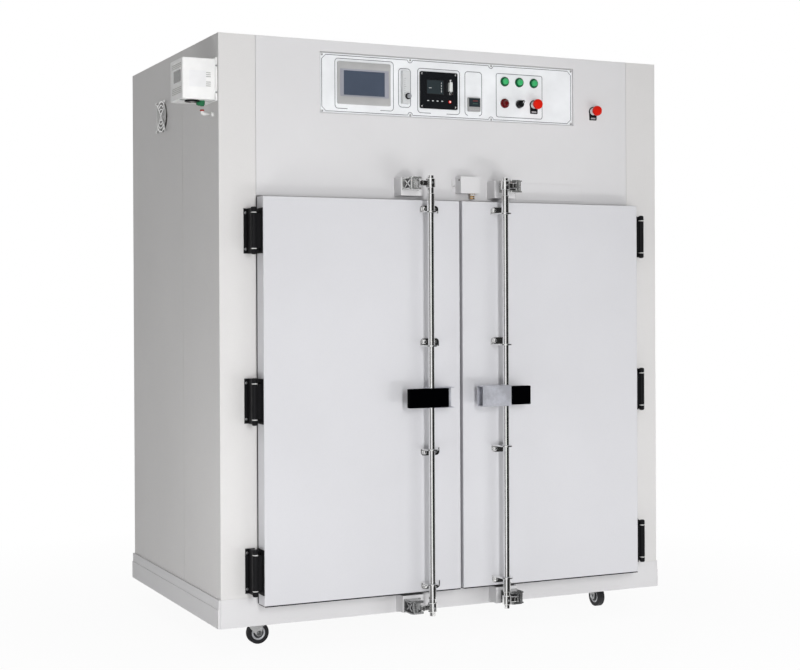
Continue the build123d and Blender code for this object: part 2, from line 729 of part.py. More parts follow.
def left_lock_rod():
    t = CHANNEL_T
    h = HANDLE_H / 2
    b = HANDLE_BACK
    x0 = ROD_X - CHANNEL_SHORT
    x1 = ROD_X + CHANNEL_L
    bar = cyl_z(ROD_X, ROD_Y, HANDLE_Z - 2 * h, HANDLE_Z + 2 * h, ROD_R)
    web = box(x0, x1, ROD_Y + b - t, ROD_Y + b, HANDLE_Z - h, HANDLE_Z + h)
    out = [rod_bar(), web] + cams()
    for z in (HANDLE_Z - h - t, HANDLE_Z + h):
        out.append(box(x0, x1, ROD_Y - CHANNEL_LIP, ROD_Y + b, z, z + t) - bar)
    return out


def left_grip():
    h = HANDLE_H / 2 - GAP
    y0 = ROD_Y - HANDLE_BACK
    grip = box(ROD_X - GRIP_OUT, ROD_X + GRIP_IN, y0, ROD_Y + GRIP_TAIL, HANDLE_Z - h, HANDLE_Z + h)
    grip = fillet(grip.edges().filter_by(Axis.Z), GRIP_R)
    return grip - cyl_z(ROD_X, ROD_Y, HANDLE_Z - 2 * h, HANDLE_Z + 2 * h, ROD_R + GAP)


def right_lock_rod():
    rod = W - ROD_X
    t = CHANNEL_T
    h = HANDLE_H / 2
    b = HANDLE_BACK
    x0 = rod - CHANNEL_R
    x1 = rod + CHANNEL_NEAR
    front = box(x0, x1, ROD_Y - b, ROD_Y - b + t, HANDLE_Z - h, HANDLE_Z + h)
    back = box(x0, x1, ROD_Y + b - t, ROD_Y + b, HANDLE_Z - h, HANDLE_Z + h)
    bar = cyl_z(rod, ROD_Y, HANDLE_Z - 2 * h, HANDLE_Z + 2 * h, ROD_R)
    out = mirror_x([rod_bar()] + cams()) + [front, back]
    for z in (HANDLE_Z - h - t, HANDLE_Z + h):
        out.append(box(x0, x1, ROD_Y - b, ROD_Y + b, z, z + t) - bar)
    return out


def right_grip():
    rod = W - ROD_X
    h = HANDLE_H / 2 - GAP
    x0 = rod + CHANNEL_NEAR + GAP
    y0 = ROD_Y - HANDLE_BACK
    grip = box(x0, rod + GRIP_RIGHT, y0, ROD_Y + GRIP_TAIL, HANDLE_Z - h, HANDLE_Z + h)
    grip = fillet(grip.edges().filter_by(Axis.Z).sort_by(Axis.X)[2:], GRIP_R)
    return grip - cyl_z(rod, ROD_Y, HANDLE_Z - 2 * h, HANDLE_Z + 2 * h, ROD_R + GAP)


# Casters

CASTERS = (
    ("front_left", CASTER_X, CASTER_Y),
    ("front_right", W - CASTER_X, CASTER_Y),
    ("rear_left", CASTER_X, D - CASTER_Y),
    ("rear_right", W - CASTER_X, D - CASTER_Y),
)
RACE_Z = POCKET_H - TOP_T - RACE_T
AXLE_Z = WHEEL_R - CLEAR_FLOOR


def caster_plates():
    out = []
    for name, x, y in CASTERS:
        plate = block(x - TOP_L / 2, y - TOP_W / 2, POCKET_H - TOP_T, TOP_L, TOP_W, TOP_T)
        out.append(plate + cyl_z(x, y, RACE_Z, POCKET_H - 1, RACE_R))
    return out


def at_caster(i, shape):
    name, x, y = CASTERS[i]
    return Pos(x, y, 0) * Rot(0, 0, CASTER_TURN[i]) * shape


def fork_leg(side):
    top = RACE_Z - RACE_C - CROWN_T / 2
    foot = AXLE_Z - FORK_DROP
    near = TRAIL - FORK_FOOT
    far = TRAIL + FORK_FOOT
    outline = ((-FORK_FRONT, top), (TRAIL + FORK_BACK, top), (far, foot), (near, foot))
    leg = extrude(Plane.XZ * Polygon(*outline, align=None), FORK_T)
    inner = WHEEL_W / 2 + FORK_GAP
    edge = leg.bounding_box().max.Y
    target = inner + FORK_T if side > 0 else -inner
    return Pos(0, target - edge, 0) * leg


def caster_fork(i):
    # The fork trails towards +X before it is turned
    top = RACE_Z - RACE_C
    half = WHEEL_W / 2 + FORK_GAP + FORK_T
    body = cyl_z(0, 0, top - CROWN_T, top, RACE_R)
    body += box(-FORK_FRONT, TRAIL + FORK_BACK, -half, half, top - CROWN_T, top - CROWN_T / 2)
    body += fork_leg(1) + fork_leg(-1)
    end = half + AXLE_END / 2
    body += cyl_y(TRAIL, AXLE_Z, -end, end, AXLE_R)
    return at_caster(i, body)


def caster_wheel(i):
    w = WHEEL_W / 2
    wheel = cyl_y(TRAIL, AXLE_Z, -w, w, WHEEL_R)
    wheel = fillet(wheel.edges().filter_by(GeomType.CIRCLE), TREAD_R)
    for y0, y1 in ((-w - 1, -w + HUB_SINK), (w - HUB_SINK, w + 1)):
        dish = cyl_y(TRAIL, AXLE_Z, y0, y1, HUB_R) - cyl_y(TRAIL, AXLE_Z, y0, y1, 2 * AXLE_R)
        wheel -= dish
    wheel -= cyl_y(TRAIL, AXLE_Z, -w - 1, w + 1, AXLE_R + AXLE_C)
    return at_caster(i, wheel)


def main():
    os.makedirs("parts", exist_ok=True)
    save("base_frame", base_frame())
    save("left_side_panels", left_side_panels())
    save("right_side_panels", mirror_x(side_panels()))
    save("back_panel", back_panel())
    save("front_fascia", front_fascia())
    save("top_housing", top_housing())
    save("door_frame", door_frame())
    save("chamber_liner", chamber_liner())
    save("control_plate", control_plate())
    save("hmi", hmi())
    save("flowmeter", flowmeter())
    save("gas_analyser", gas_analyser())
    save("temp_controller", temp_controller())
    save("pilot_lamps", pilot_lamps())
    save("selector_knob", selector_knob())
    save("estop_bases", estop_bases())
    save("estop_head_left", estop_head(STOP1))
    save("estop_head_right", estop_head(STOP2))
    save("limit_switch_box", limit_switch_box())
    save("keeper_blocks", keeper_blocks())
    save("keepers", keepers())
    save("instrument_box", instrument_box())
    save("fan_guard", fan_guard())
    save("hinge_fixed_leaves", hinge_fixed_leaves())
    save("caster_plates", caster_plates())
    save("left_door", left_door())
    save("left_gasket", left_gasket())
    save("left_hinge_leaves", left_hinge_leaves())
    save("left_rod_guides", rod_guides(ROD_X, GUIDE_SHIFT_L))
    save("right_door", mirror_x(left_door()))
    save("right_gasket", mirror_x(left_gasket()))
    save("right_hinge_leaves", mirror_x(left_hinge_leaves()))
    save("right_rod_guides", rod_guides(W - ROD_X, GUIDE_SHIFT_R))
    save("left_lock_rod", left_lock_rod())
    save("left_grip", left_grip())
    save("right_lock_rod", right_lock_rod())
    save("right_grip", right_grip())
    for i, place in enumerate(CASTERS):
        save("caster_fork_" + place[0], caster_fork(i))
        save("caster_wheel_" + place[0], caster_wheel(i))
    print("origin", CX, CY, CLEAR_FLOOR)
    print("selector", SELECTOR, "stops", STOP1, STOP2)


main()
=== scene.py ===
# %% [markdown]
# # A two-door cleanroom oven
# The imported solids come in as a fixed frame: every node already sits in metres
# in the shared frame. This notebook gives each of them a finish and adds the
# small things that solids leave plain, such as screws, lenses and seals.

# %% Load the frame
import bmesh
import bpy
import numpy as np
from mathutils import Matrix, Vector


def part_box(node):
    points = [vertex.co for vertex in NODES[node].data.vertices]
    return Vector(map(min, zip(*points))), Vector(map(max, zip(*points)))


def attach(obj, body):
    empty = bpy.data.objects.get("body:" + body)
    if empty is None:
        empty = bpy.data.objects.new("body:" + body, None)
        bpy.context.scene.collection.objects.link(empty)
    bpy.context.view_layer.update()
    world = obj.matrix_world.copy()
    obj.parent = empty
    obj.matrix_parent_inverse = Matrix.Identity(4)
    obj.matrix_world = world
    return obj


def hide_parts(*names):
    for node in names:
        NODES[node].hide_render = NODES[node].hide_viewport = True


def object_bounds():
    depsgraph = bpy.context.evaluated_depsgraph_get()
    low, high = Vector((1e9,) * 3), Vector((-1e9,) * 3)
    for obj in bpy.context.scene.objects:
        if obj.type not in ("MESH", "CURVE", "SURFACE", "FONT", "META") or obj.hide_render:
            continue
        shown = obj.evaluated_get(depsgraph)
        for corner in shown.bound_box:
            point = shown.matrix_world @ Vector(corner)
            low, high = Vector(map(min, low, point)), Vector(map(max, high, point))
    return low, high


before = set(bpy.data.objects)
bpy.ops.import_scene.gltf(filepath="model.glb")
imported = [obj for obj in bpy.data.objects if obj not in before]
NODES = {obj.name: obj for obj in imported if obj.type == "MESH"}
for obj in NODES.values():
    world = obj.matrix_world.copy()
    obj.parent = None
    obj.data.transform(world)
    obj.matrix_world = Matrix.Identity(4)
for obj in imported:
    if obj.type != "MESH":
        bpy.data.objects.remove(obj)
CAD_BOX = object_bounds()

# %% [markdown]
# ## A ruler on the cabinet
# The drawings of such a machine measure from the cabinet's lower left front
# corner, in millimetres. Two nodes give that corner, so a place can be written
# as on a drawing and turned into metres by one function.

# %% Cabinet ruler
MM = 0.001
SIDE_LOW, SIDE_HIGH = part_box("left_side_panels")
RIGHT_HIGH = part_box("right_side_panels")[1]
BASE_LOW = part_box("base_frame")[0]
CORNER = np.array([SIDE_LOW[0], SIDE_LOW[1], BASE_LOW[2]])
WIDE = (RIGHT_HIGH[0] - SIDE_LOW[0]) / MM
SIDES = ("left", "right")
CASTERS = ("front_left", "front_right", "rear_left", "rear_right")


def cab(points):
    """Cabinet millimetres to metres in the shared frame, for one point or many."""
    return np.asarray(points, float) * MM + CORNER


def node_mm(name):
    """A node's box in cabinet millimetres: low corner, high corner."""
    low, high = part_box(name)
    return (np.array(low) - CORNER) / MM, (np.array(high) - CORNER) / MM


def front_view(name):
    """A node as the viewer sees it: middle x, middle z, width and height."""
    low, high = node_mm(name)
    return (low[0] + high[0]) / 2, (low[2] + high[2]) / 2, high[0] - low[0], high[2] - low[2]


print("cabinet", round(WIDE), round((SIDE_HIGH[2] - BASE_LOW[2]) / MM))

# %% [markdown]
# ## The camera
# The photograph was taken at chest height from the left, with the long side of
# a moderate lens. A fit of the cabinet's edges gave the place, the turn and a
# focal length of 1516 pixels for a frame 800 pixels wide. The picture's middle
# lies a little below the optical axis, so the camera has a small shift.

# %% Camera
FRAME_W, FRAME_H = 800.0, 670.0
FOCAL_PX = 1516.5
AXIS_PX = 307.5
SENSOR = 36.0
CAMERA_AT = (-1607.1, -4852.4, 1094.1)
YAW, PITCH, ROLL = np.radians([25.116, -0.204, -0.258])


def add_object(name, data):
    """A new object in the scene from a mesh, a lamp or a camera."""
    obj = bpy.data.objects.new(name, data)
    bpy.context.scene.collection.objects.link(obj)
    return obj


def make_camera():
    """Camera matrix from yaw, pitch and roll: columns right, up, backwards."""
    ahead = np.array([np.sin(YAW) * np.cos(PITCH), np.cos(YAW) * np.cos(PITCH), np.sin(PITCH)])
    right = np.array([np.cos(YAW), -np.sin(YAW), 0.0])
    up = np.cross(right, ahead)
    r = np.cos(ROLL) * right + np.sin(ROLL) * up
    u = -np.sin(ROLL) * right + np.cos(ROLL) * up
    data = bpy.data.cameras.new("camera")
    data.sensor_width = SENSOR
    data.lens = FOCAL_PX / FRAME_W * SENSOR
    data.shift_y = (AXIS_PX - FRAME_H / 2) / FRAME_W
    data.clip_start, data.clip_end = 0.1, 100.0
    cam = add_object("camera", data)
    rows = np.column_stack([r, u, -ahead, cab(CAMERA_AT)]).tolist()
    cam.matrix_world = Matrix([*rows, [0, 0, 0, 1]])
    bpy.context.scene.camera = cam
    return cam


camera = make_camera()
print("lens", round(camera.data.lens, 2), "shift", round(camera.data.shift_y, 4))

# %% [markdown]
# ## Light and floor
# Product pictures of machines are lit by big soft boxes. Here a tall narrow one
# stands a little to the left in front, so the rods throw a soft upright shadow,
# the doors are bright and the left side falls into a soft grey. Two low strips
# lift the lower parts, and the world fills in the rest. The floor is white to
# the camera and to mirrors, and still takes the machine's shadow.

# %% Shader nodes
def feed(t, n, inputs):
    """Fills a node's inputs: a socket is linked, a value is set, a colour gets alpha."""
    for key, value in inputs.items():
        socket = n.inputs[key]
        if isinstance(value, bpy.types.NodeSocket):
            t.links.new(value, socket)
        else:
            socket.default_value = (*value, 1) if socket.type == "RGBA" else value


def node(t, kind, inputs=None, **settings):
    """One shader node of a kind, with its settings and its inputs."""
    n = t.nodes.new("ShaderNode" + kind)
    for key, value in settings.items():
        setattr(n, key, value)
    feed(t, n, inputs or {})
    return n


def math_node(t, kind, a, b):
    return node(t, "Math", {0: a, 1: b}, operation=kind).outputs[0]


def object_coords(t):
    return node(t, "TexCoord").outputs["Object"]


def seen_plainly(t):
    """1 for the rays of the camera, of mirrors and of glass, 0 for all others."""
    path = node(t, "LightPath")
    sharp = math_node(t, "MAXIMUM", path.outputs["Is Camera Ray"], path.outputs["Is Glossy Ray"])
    return math_node(t, "MAXIMUM", sharp, path.outputs["Is Transmission Ray"])


print("node helpers ready")

# %% Lights, world and floor
WHITE = (1.0, 1.0, 1.0)
FLOOR_Z = float(CAD_BOX[0][2])


def area_lamp(name, place, target, size, power, tall):
    """A soft box at place, turned towards target, as a strip of height tall."""
    data = bpy.data.lights.new(name, "AREA")
    data.shape = "RECTANGLE"
    data.size, data.size_y, data.energy = size, tall, power
    lamp = add_object(name, data)
    lamp.location = place
    lamp.rotation_mode = "QUATERNION"
    lamp.rotation_quaternion = (Vector(target) - Vector(place)).to_track_quat("-Z", "Y")
    lamp.visible_camera = lamp.visible_glossy = False
    return lamp


def bare_tree(owner):
    """Switches an owner's shader nodes on and empties the tree."""
    owner.use_nodes = True
    owner.node_tree.nodes.clear()
    return owner.node_tree


def make_world(fill):
    """Grey fill for surfaces, plain white for the camera, mirrors and glass."""
    world = bpy.data.worlds.new("studio")
    bpy.context.scene.world = world
    t = bare_tree(world)
    soft, plain = (node(t, "Background", {"Color": WHITE, "Strength": s}) for s in (fill, 1.0))
    mix = node(t, "MixShader", {0: seen_plainly(t), 1: soft.outputs[0], 2: plain.outputs[0]})
    node(t, "OutputWorld", {0: mix.outputs[0]})


def floor_finish():
    """White to the camera, with the lit diffuse colour mixed in near the machine so
    that its shadow stays. The share of plain white grows with the distance."""
    m = bpy.data.materials.new("studio_floor")
    t = bare_tree(m)
    away = node(t, "VectorMath", {0: object_coords(t)}, operation="LENGTH").outputs["Value"]
    fade = node(t, "MapRange", {"Value": away, "From Min": 0.9, "From Max": 2.4,
                                "To Min": 0.94, "To Max": 1.0})
    share = math_node(t, "MULTIPLY", seen_plainly(t), fade.outputs["Result"])
    lit = node(t, "BsdfDiffuse", {"Color": (0.93, 0.93, 0.93)})
    glow = node(t, "Emission", {"Strength": 1.0})
    mix = node(t, "MixShader", {0: share, 1: lit.outputs[0], 2: glow.outputs[0]})
    node(t, "OutputMaterial", {0: mix.outputs[0]})
    return m


def make_floor(half):
    """A flat square at the height of the wheels' lowest point."""
    mesh = bpy.data.meshes.new("floor")
    corners = [(x * half, y * half, FLOOR_Z) for x, y in ((-1, -1), (1, -1), (1, 1), (-1, 1))]
    mesh.from_pydata(corners, [], [(0, 1, 2, 3)])
    mesh.materials.append(floor_finish())
    floor = add_object("floor", mesh)


make_world(0.34)
key = area_lamp("key", (-0.83, -5.3, 1.45), (0.0, 0.0, 1.3), 0.5, 120.0, 2.7)
low = area_lamp("low_strip", (1.15, -2.6, 0.2), (0.2, -0.5, 0.2), 1.3, 11.5, 0.3)
side = area_lamp("side_strip", (-2.1, -1.3, 0.14), (-0.82, -0.1, 0.12), 0.9, 8.5, 0.2)
make_floor(30.0)
print("lamps", key.data.energy, low.data.energy, side.data.energy)

# %% [markdown]
# Chrome looks like its surroundings, so a photographer stands dark and grey
# cards beside the camera. The cards here are curved round the machine's front
# and are seen by mirror rays only.

# %% Cards for the chrome
FLAG_R, FLAG_TALL, FLAG_NEAR = 3.6, 5.0, 0.3
FLAG_FOOT = [0.05, -0.72]
FLAG_STEPS = 13


def make_flag(name, from_deg, to_deg, shade):
    """A curved card of radius FLAG_R from one angle to another, with a cloth in front
    of it on the floor. Only mirror rays see it, so chrome shows a stripe of its shade
    from top to bottom, as in a studio."""
    n = FLAG_STEPS
    a = np.radians(np.linspace(from_deg, to_deg, n))
    way = np.stack([np.sin(a), -np.cos(a)], 1)
    ground = FLOOR_Z + 0.002
    rows = [np.column_stack([FLAG_FOOT + q * way, np.full(n, z)])
            for q, z in ((FLAG_NEAR, ground), (FLAG_R, ground), (FLAG_R, FLOOR_Z + FLAG_TALL))]
    faces = [(k * n + i, k * n + i + 1, k * n + i + n + 1, k * n + i + n)
             for k in range(2) for i in range(n - 1)]
    mesh = bpy.data.meshes.new(name)
    mesh.from_pydata(np.concatenate(rows).tolist(), [], faces)
    card = bpy.data.materials.new(name)
    t = bare_tree(card)
    glow = node(t, "Emission", {"Color": (shade, shade, shade)})
    node(t, "OutputMaterial", {0: glow.outputs[0]})
    mesh.materials.append(card)
    flag = add_object(name, mesh)
    flag.visible_camera = flag.visible_diffuse = False
    flag.visible_shadow = flag.visible_transmission = False


make_flag("dark_flag", -8, 75, 0.025)
make_flag("far_flag", 75, 96, 0.2)
make_flag("grey_flag", -125, -56, 0.19)
make_flag("soft_flag", -12, -8, 0.4)
bpy.context.scene.view_settings.view_transform = "Standard"
print("cards of radius", FLAG_R)

# %% [markdown]
# ## Shared effects
# Powder coat has a fine orange-peel, rolled steel a grain along its length, and
# every machine gathers a little unevenness in tone. Each of these is a small
# node group with named inputs, built once and placed in every finish with its
# own values.

# %% Node groups
def new_group(name, inputs, outputs):
    """An empty shader group. inputs: (name, default); outputs: names."""
    g = bpy.data.node_groups.new(name, "ShaderNodeTree")
    for label, value in inputs:
        s = g.interface.new_socket(label, in_out="INPUT", socket_type="NodeSocketFloat")
        s.default_value = value
    for label in outputs:
        g.interface.new_socket(label, in_out="OUTPUT", socket_type="NodeSocketFloat")
    return g, g.nodes.new("NodeGroupInput").outputs, g.nodes.new("NodeGroupOutput")


def noise_node(t, vector, scale, detail, rough=0.5):
    values = {"Vector": vector, "Scale": scale, "Detail": detail, "Roughness": rough}
    return node(t, "TexNoise", values).outputs["Fac"]


def peel_group():
    """Orange peel: fine noise for height, and a rare speckle for colour."""
    g, given, end = new_group("orange_peel", [("Size", 900.0), ("Speck", 0.5)], ["Height", "Speck"])
    v = object_coords(g)
    fine = noise_node(g, v, given["Size"], 3.0, 0.6)
    wide = noise_node(g, v, 55.0, 2.0)
    height = math_node(g, "ADD", fine, math_node(g, "MULTIPLY", wide, 0.35))
    dots = math_node(g, "GREATER_THAN", noise_node(g, v, 620.0, 1.0), 0.66)
    feed(g, end, {"Height": height, "Speck": math_node(g, "MULTIPLY", dots, given["Speck"])})
    return g


def tone_group():
    """Slow unevenness of tone, and a finer one for smudges."""
    g, given, end = new_group("tone", [("Amount", 0.5), ("Scale", 2.2)], ["Tone", "Smudge"])
    v = object_coords(g)
    slow = noise_node(g, v, given["Scale"], 4.0, 0.55)
    feed(g, end, {"Tone": math_node(g, "MULTIPLY", slow, given["Amount"]),
                  "Smudge": noise_node(g, v, 14.0, 5.0, 0.65)})
    return g


def grain_group():
    """Brushed grain: noise drawn out along X, Y or Z by the stretch inputs."""
    labels = ("Along X", "Along Y", "Along Z")
    g, given, end = new_group("grain", [(label, 1.0) for label in labels], ["Grain"])
    stretch = node(g, "CombineXYZ", {i: given[label] for i, label in enumerate(labels)})
    drawn = node(g, "VectorMath", {0: object_coords(g), 1: stretch.outputs[0]}, operation="MULTIPLY")
    feed(g, end, {"Grain": noise_node(g, drawn.outputs[0], 1.0, 4.0, 0.7)})
    return g


PEEL, TONE, GRAIN = peel_group(), tone_group(), grain_group()
print("groups", PEEL.name, TONE.name, GRAIN.name)

# %% [markdown]
# ## Finishes
# One function builds the common pattern: a colour that drifts between two
# close tones, a roughness that drifts with the smudges, a bump, and edges that
# catch a soft highlight because their normal is rounded over half a
# millimetre. Constants sit on the shader's own sockets.

# %% Material helpers
def ramp(t, fac, low, high, a, b):
    """Colour a up to low, colour b from high on, and a blend between them."""
    r = node(t, "ValToRGB", {"Fac": fac})
    for stop, place, colour in zip(r.color_ramp.elements, (low, high), (a, b)):
        stop.position, stop.color = place, (*colour, 1)
    return r.outputs["Color"]


def mix_colour(t, fac, a, b, blend="MIX"):
    """Colours a and b by fac. Sockets 6 and 7 are the node's two colours."""
    return node(t, "Mix", {0: fac, 6: a, 7: b}, data_type="RGBA", blend_type=blend).outputs[2]


def remap(t, fac, low, high):
    return node(t, "MapRange", {"Value": fac, "To Min": low, "To Max": high}).outputs["Result"]


def use_group(t, group, **values):
    inputs = {key.replace("_", " "): value for key, value in values.items()}
    return node(t, "Group", inputs, node_tree=group).outputs


def start_material(name):
    m = bpy.data.materials.new(name)
    m.use_nodes = True
    return m, m.node_tree, m.node_tree.nodes["Principled BSDF"]


def bump(t, shader, height, distance, strength, edge):
    """Height into the normal; edge rounds sharp edges over that many metres."""
    b = node(t, "Bump", {"Distance": distance, "Strength": strength, "Height": height})
    if edge:
        feed(t, b, {"Normal": node(t, "Bevel", {"Radius": edge}, samples=4).outputs[0]})
    feed(t, shader, {"Normal": b.outputs[0]})


def darker(c, k):
    return tuple(min(1.0, v * k) for v in c)


print("colour helpers ready")

# %% [markdown]
# The maker's three basic finishes are powder coat on sheet, moulded plastic
# and metal with a grain. Each is one function, so that all parts of a kind
# share the same structure and differ in their values only.

# %% Basic finishes
def coated(name, colour, rough, speck=0.25):
    """Powder coat: orange peel, faint specks, slow drift of tone."""
    m, t, s = start_material(name)
    peel = use_group(t, PEEL, Size=900.0, Speck=speck)
    tone = use_group(t, TONE, Amount=1.0, Scale=1.7)
    base = ramp(t, tone["Tone"], 0.3, 0.75, darker(colour, 0.97), darker(colour, 1.03))
    feed(t, s, {"Base Color": mix_colour(t, peel["Speck"], base, darker(colour, 0.8)),
                "Roughness": remap(t, tone["Smudge"], rough - 0.06, rough + 0.06),
                "Specular IOR Level": 0.35})
    bump(t, s, peel["Height"], 0.00022, 0.35, 0.0008)
    return m


def plastic(name, colour, rough, fine=1400.0, depth=0.00006, edge=0.0006, coat=0.0, spec=0.4):
    """Moulded plastic: very fine grain and slight drift."""
    m, t, s = start_material(name)
    peel = use_group(t, PEEL, Size=fine, Speck=0.0)
    tone = use_group(t, TONE, Amount=1.0, Scale=9.0)
    base = ramp(t, tone["Tone"], 0.3, 0.75, darker(colour, 0.92), darker(colour, 1.08))
    feed(t, s, {"Base Color": base, "Specular IOR Level": spec, "Coat Weight": coat,
                "Roughness": remap(t, tone["Smudge"], rough - 0.05, rough + 0.07)})
    bump(t, s, peel["Height"], depth, 0.6, edge)
    return m


def metal(name, colour, rough, grain=(60, 60, 60), depth=0.00003, spots=0.0, pure=1.0):
    """Metal: grain along one axis; spots mixes in a mottled zinc look, and pure is
    the bare metal's share against its dull oxide skin."""
    m, t, s = start_material(name)
    x, y, z = map(float, grain)
    line = use_group(t, GRAIN, Along_X=x, Along_Y=y, Along_Z=z)["Grain"]
    smudge = use_group(t, TONE, Amount=1.0, Scale=30.0 if spots else 5.0)["Smudge"]
    base = ramp(t, line, 0.35, 0.65, darker(colour, 0.93), darker(colour, 1.05))
    if spots:
        blot = ramp(t, smudge, 0.42, 0.6, darker(colour, 0.75), darker(colour, 1.08))
        base = mix_colour(t, spots, base, blot)
    both = math_node(t, "ADD", math_node(t, "MULTIPLY", line, 0.6), math_node(t, "MULTIPLY", smudge, 0.4))
    feed(t, s, {"Base Color": base, "Metallic": pure,
                "Roughness": remap(t, both, max(0.02, rough - 0.08), rough + 0.1)})
    bump(t, s, line, depth, 0.5, 0.0006)
    return m


print("basic finishes ready")

# %% [markdown]
# Some surfaces need one thing more: the door is painted outside and stainless
# inside, the castings get darker towards the bottom, the flowmeter is clear and
# one lamp is lit. Each starts from a basic finish or from the bare shader.

# %% Special finishes
DOOR_BACK_Y = -5.6


def source(socket):
    """What a shader's socket is fed by so far."""
    return socket.links[0].from_socket


def part_of_place(t, axis):
    return node(t, "SeparateXYZ", {0: object_coords(t)}).outputs[axis]


def door_finish(name, colour, rough):
    """Powder coat on the leaf; behind the leaf's back face, told by the place along
    Y, the pressed pan is brushed stainless steel, smooth and a little shinier."""
    m = coated(name, colour, rough)
    t, s = m.node_tree, m.node_tree.nodes["Principled BSDF"]
    behind = math_node(t, "GREATER_THAN", part_of_place(t, "Y"), float(cab([0, DOOR_BACK_Y, 0])[1]))
    line = use_group(t, GRAIN, Along_X=6.0, Along_Y=6.0, Along_Z=700.0)["Grain"]
    steel = ramp(t, line, 0.35, 0.65, (0.56, 0.55, 0.53), (0.64, 0.63, 0.61))
    shine = math_node(t, "MULTIPLY", behind, -0.14)
    feed(t, s, {"Base Color": mix_colour(t, behind, source(s.inputs["Base Color"]), steel),
                "Roughness": math_node(t, "ADD", source(s.inputs["Roughness"]), shine),
                "Metallic": behind})
    hill = t.nodes["Bump"]
    painted = math_node(t, "SUBTRACT", 1.0, behind)
    feed(t, hill, {"Height": math_node(t, "MULTIPLY", source(hill.inputs["Height"]), painted)})
    return m


def cast_chrome(name):
    """Rough plated casting, darker towards the bottom: its colour is multiplied by a
    tone that follows the height along Z."""
    m = metal(name, (0.76, 0.77, 0.76), 0.12, grain=(70, 70, 70), depth=0.0001, spots=0.7, pure=0.78)
    t, s = m.node_tree, m.node_tree.nodes["Principled BSDF"]
    high = remap(t, part_of_place(t, "Z"), 0.42, 1.0)
    dull = ramp(t, high, 0.42, 1.0, (0.42, 0.42, 0.43), WHITE)
    feed(t, s, {"Base Color": mix_colour(t, 1.0, source(s.inputs["Base Color"]), dull, "MULTIPLY")})
    return m


def clear_plastic(name):
    """Clear acrylic: part transmission, faint tint, light scuffing in the roughness."""
    m, t, s = start_material(name)
    tone = use_group(t, TONE, Amount=1.0, Scale=20.0)
    feed(t, s, {"Base Color": ramp(t, tone["Tone"], 0.3, 0.8, (0.86, 0.88, 0.89), (0.94, 0.95, 0.96)),
                "Roughness": remap(t, tone["Smudge"], 0.06, 0.3),
                "Transmission Weight": 0.3, "IOR": 1.49})
    return m


def lit_plastic(name):
    """A lit red lens: the glow is strongest where the noise says the lamp sits."""
    m, t, s = start_material(name)
    tone = use_group(t, TONE, Amount=1.0, Scale=120.0)
    glow = ramp(t, tone["Tone"], 0.3, 0.7, (1.0, 0.62, 0.58), (1.0, 0.8, 0.76))
    feed(t, s, {"Base Color": ramp(t, tone["Tone"], 0.35, 0.65, (0.9, 0.4, 0.38), (0.95, 0.6, 0.56)),
                "Emission Color": glow, "Emission Strength": 0.7,
                "Roughness": remap(t, tone["Smudge"], 0.15, 0.3)})
    return m


print("special finishes ready")

# %% [markdown]
# The list of finishes is the machine's bill of surfaces: a linear colour, a
# roughness and what makes the finish special. The colours were matched by mean
# tones under the lights above.

# %% Materials of this machine
FLAT = {"edge": 0.0}
PLASTICS = {
    "printed_plate": ((0.86, 0.875, 0.895), 0.38, FLAT), "print_line": ((0.11, 0.115, 0.13), 0.5, FLAT),
    "black_mould": ((0.010, 0.010, 0.011), 0.42, {"spec": 0.15}),
    "black_gloss": ((0.010, 0.011, 0.013), 0.16, {"coat": 0.4}),
    "black_grip": ((0.0004, 0.0004, 0.0008), 0.4, {"edge": 0.0, "spec": 0.006}),
    "screen_glass": ((0.070, 0.088, 0.125), 0.2, {"coat": 0.1, "edge": 0.0}),
    "display_dark": ((0.03, 0.04, 0.045), 0.1, {"coat": 0.6, "edge": 0.0}),
    "green_lens": ((0.045, 0.46, 0.15), 0.16, {"coat": 0.4}),
    "green_ring": ((0.003, 0.10, 0.035), 0.25, {"coat": 0.4}),
    "red_lens": ((0.12, 0.003, 0.004), 0.2, {"coat": 0.15}),
    "red_ring": ((0.14, 0.004, 0.006), 0.22, {"coat": 0.4}),
    "stop_red": ((0.68, 0.012, 0.003), 0.4, {"spec": 0.2}),
    "tube_white": ((0.74, 0.76, 0.74), 0.2, {"coat": 0.5}),
    "tyre_black": ((0.02, 0.02, 0.022), 0.6, {"fine": 500.0, "depth": 0.0002}),
    "bezel_grey": ((0.43, 0.43, 0.43), 0.42, {}), "bezel_lilac": ((0.33, 0.335, 0.38), 0.4, {}),
    "bezel_taupe": ((0.37, 0.37, 0.37), 0.4, {}), "white_part": ((0.80, 0.80, 0.79), 0.4, {}),
    "box_white": ((0.92, 0.92, 0.915), 0.42, {}), "box_shade": ((0.52, 0.52, 0.49), 0.42, {}),
    "silicone_red": ((0.36, 0.035, 0.025), 0.55, {}), "fitting_green": ((0.02, 0.17, 0.07), 0.35, {}),
    "hub_grey": ((0.33, 0.34, 0.36), 0.4, {}), "hub_dark": ((0.035, 0.036, 0.04), 0.35, {}),
    "rotor_grey": ((0.20, 0.20, 0.19), 0.45, {}), "window_grey": ((0.16, 0.165, 0.16), 0.25, FLAT),
    "label_white": ((0.88, 0.88, 0.89), 0.3, FLAT), "label_grey": ((0.40, 0.40, 0.41), 0.4, FLAT),
    "pale_mark": ((0.58, 0.60, 0.60), 0.5, FLAT), "vent_grey": ((0.42, 0.42, 0.41), 0.5, FLAT),
    "digit_red": ((0.13, 0.035, 0.035), 0.3, FLAT), "digit_green": ((0.04, 0.085, 0.07), 0.3, FLAT),
}
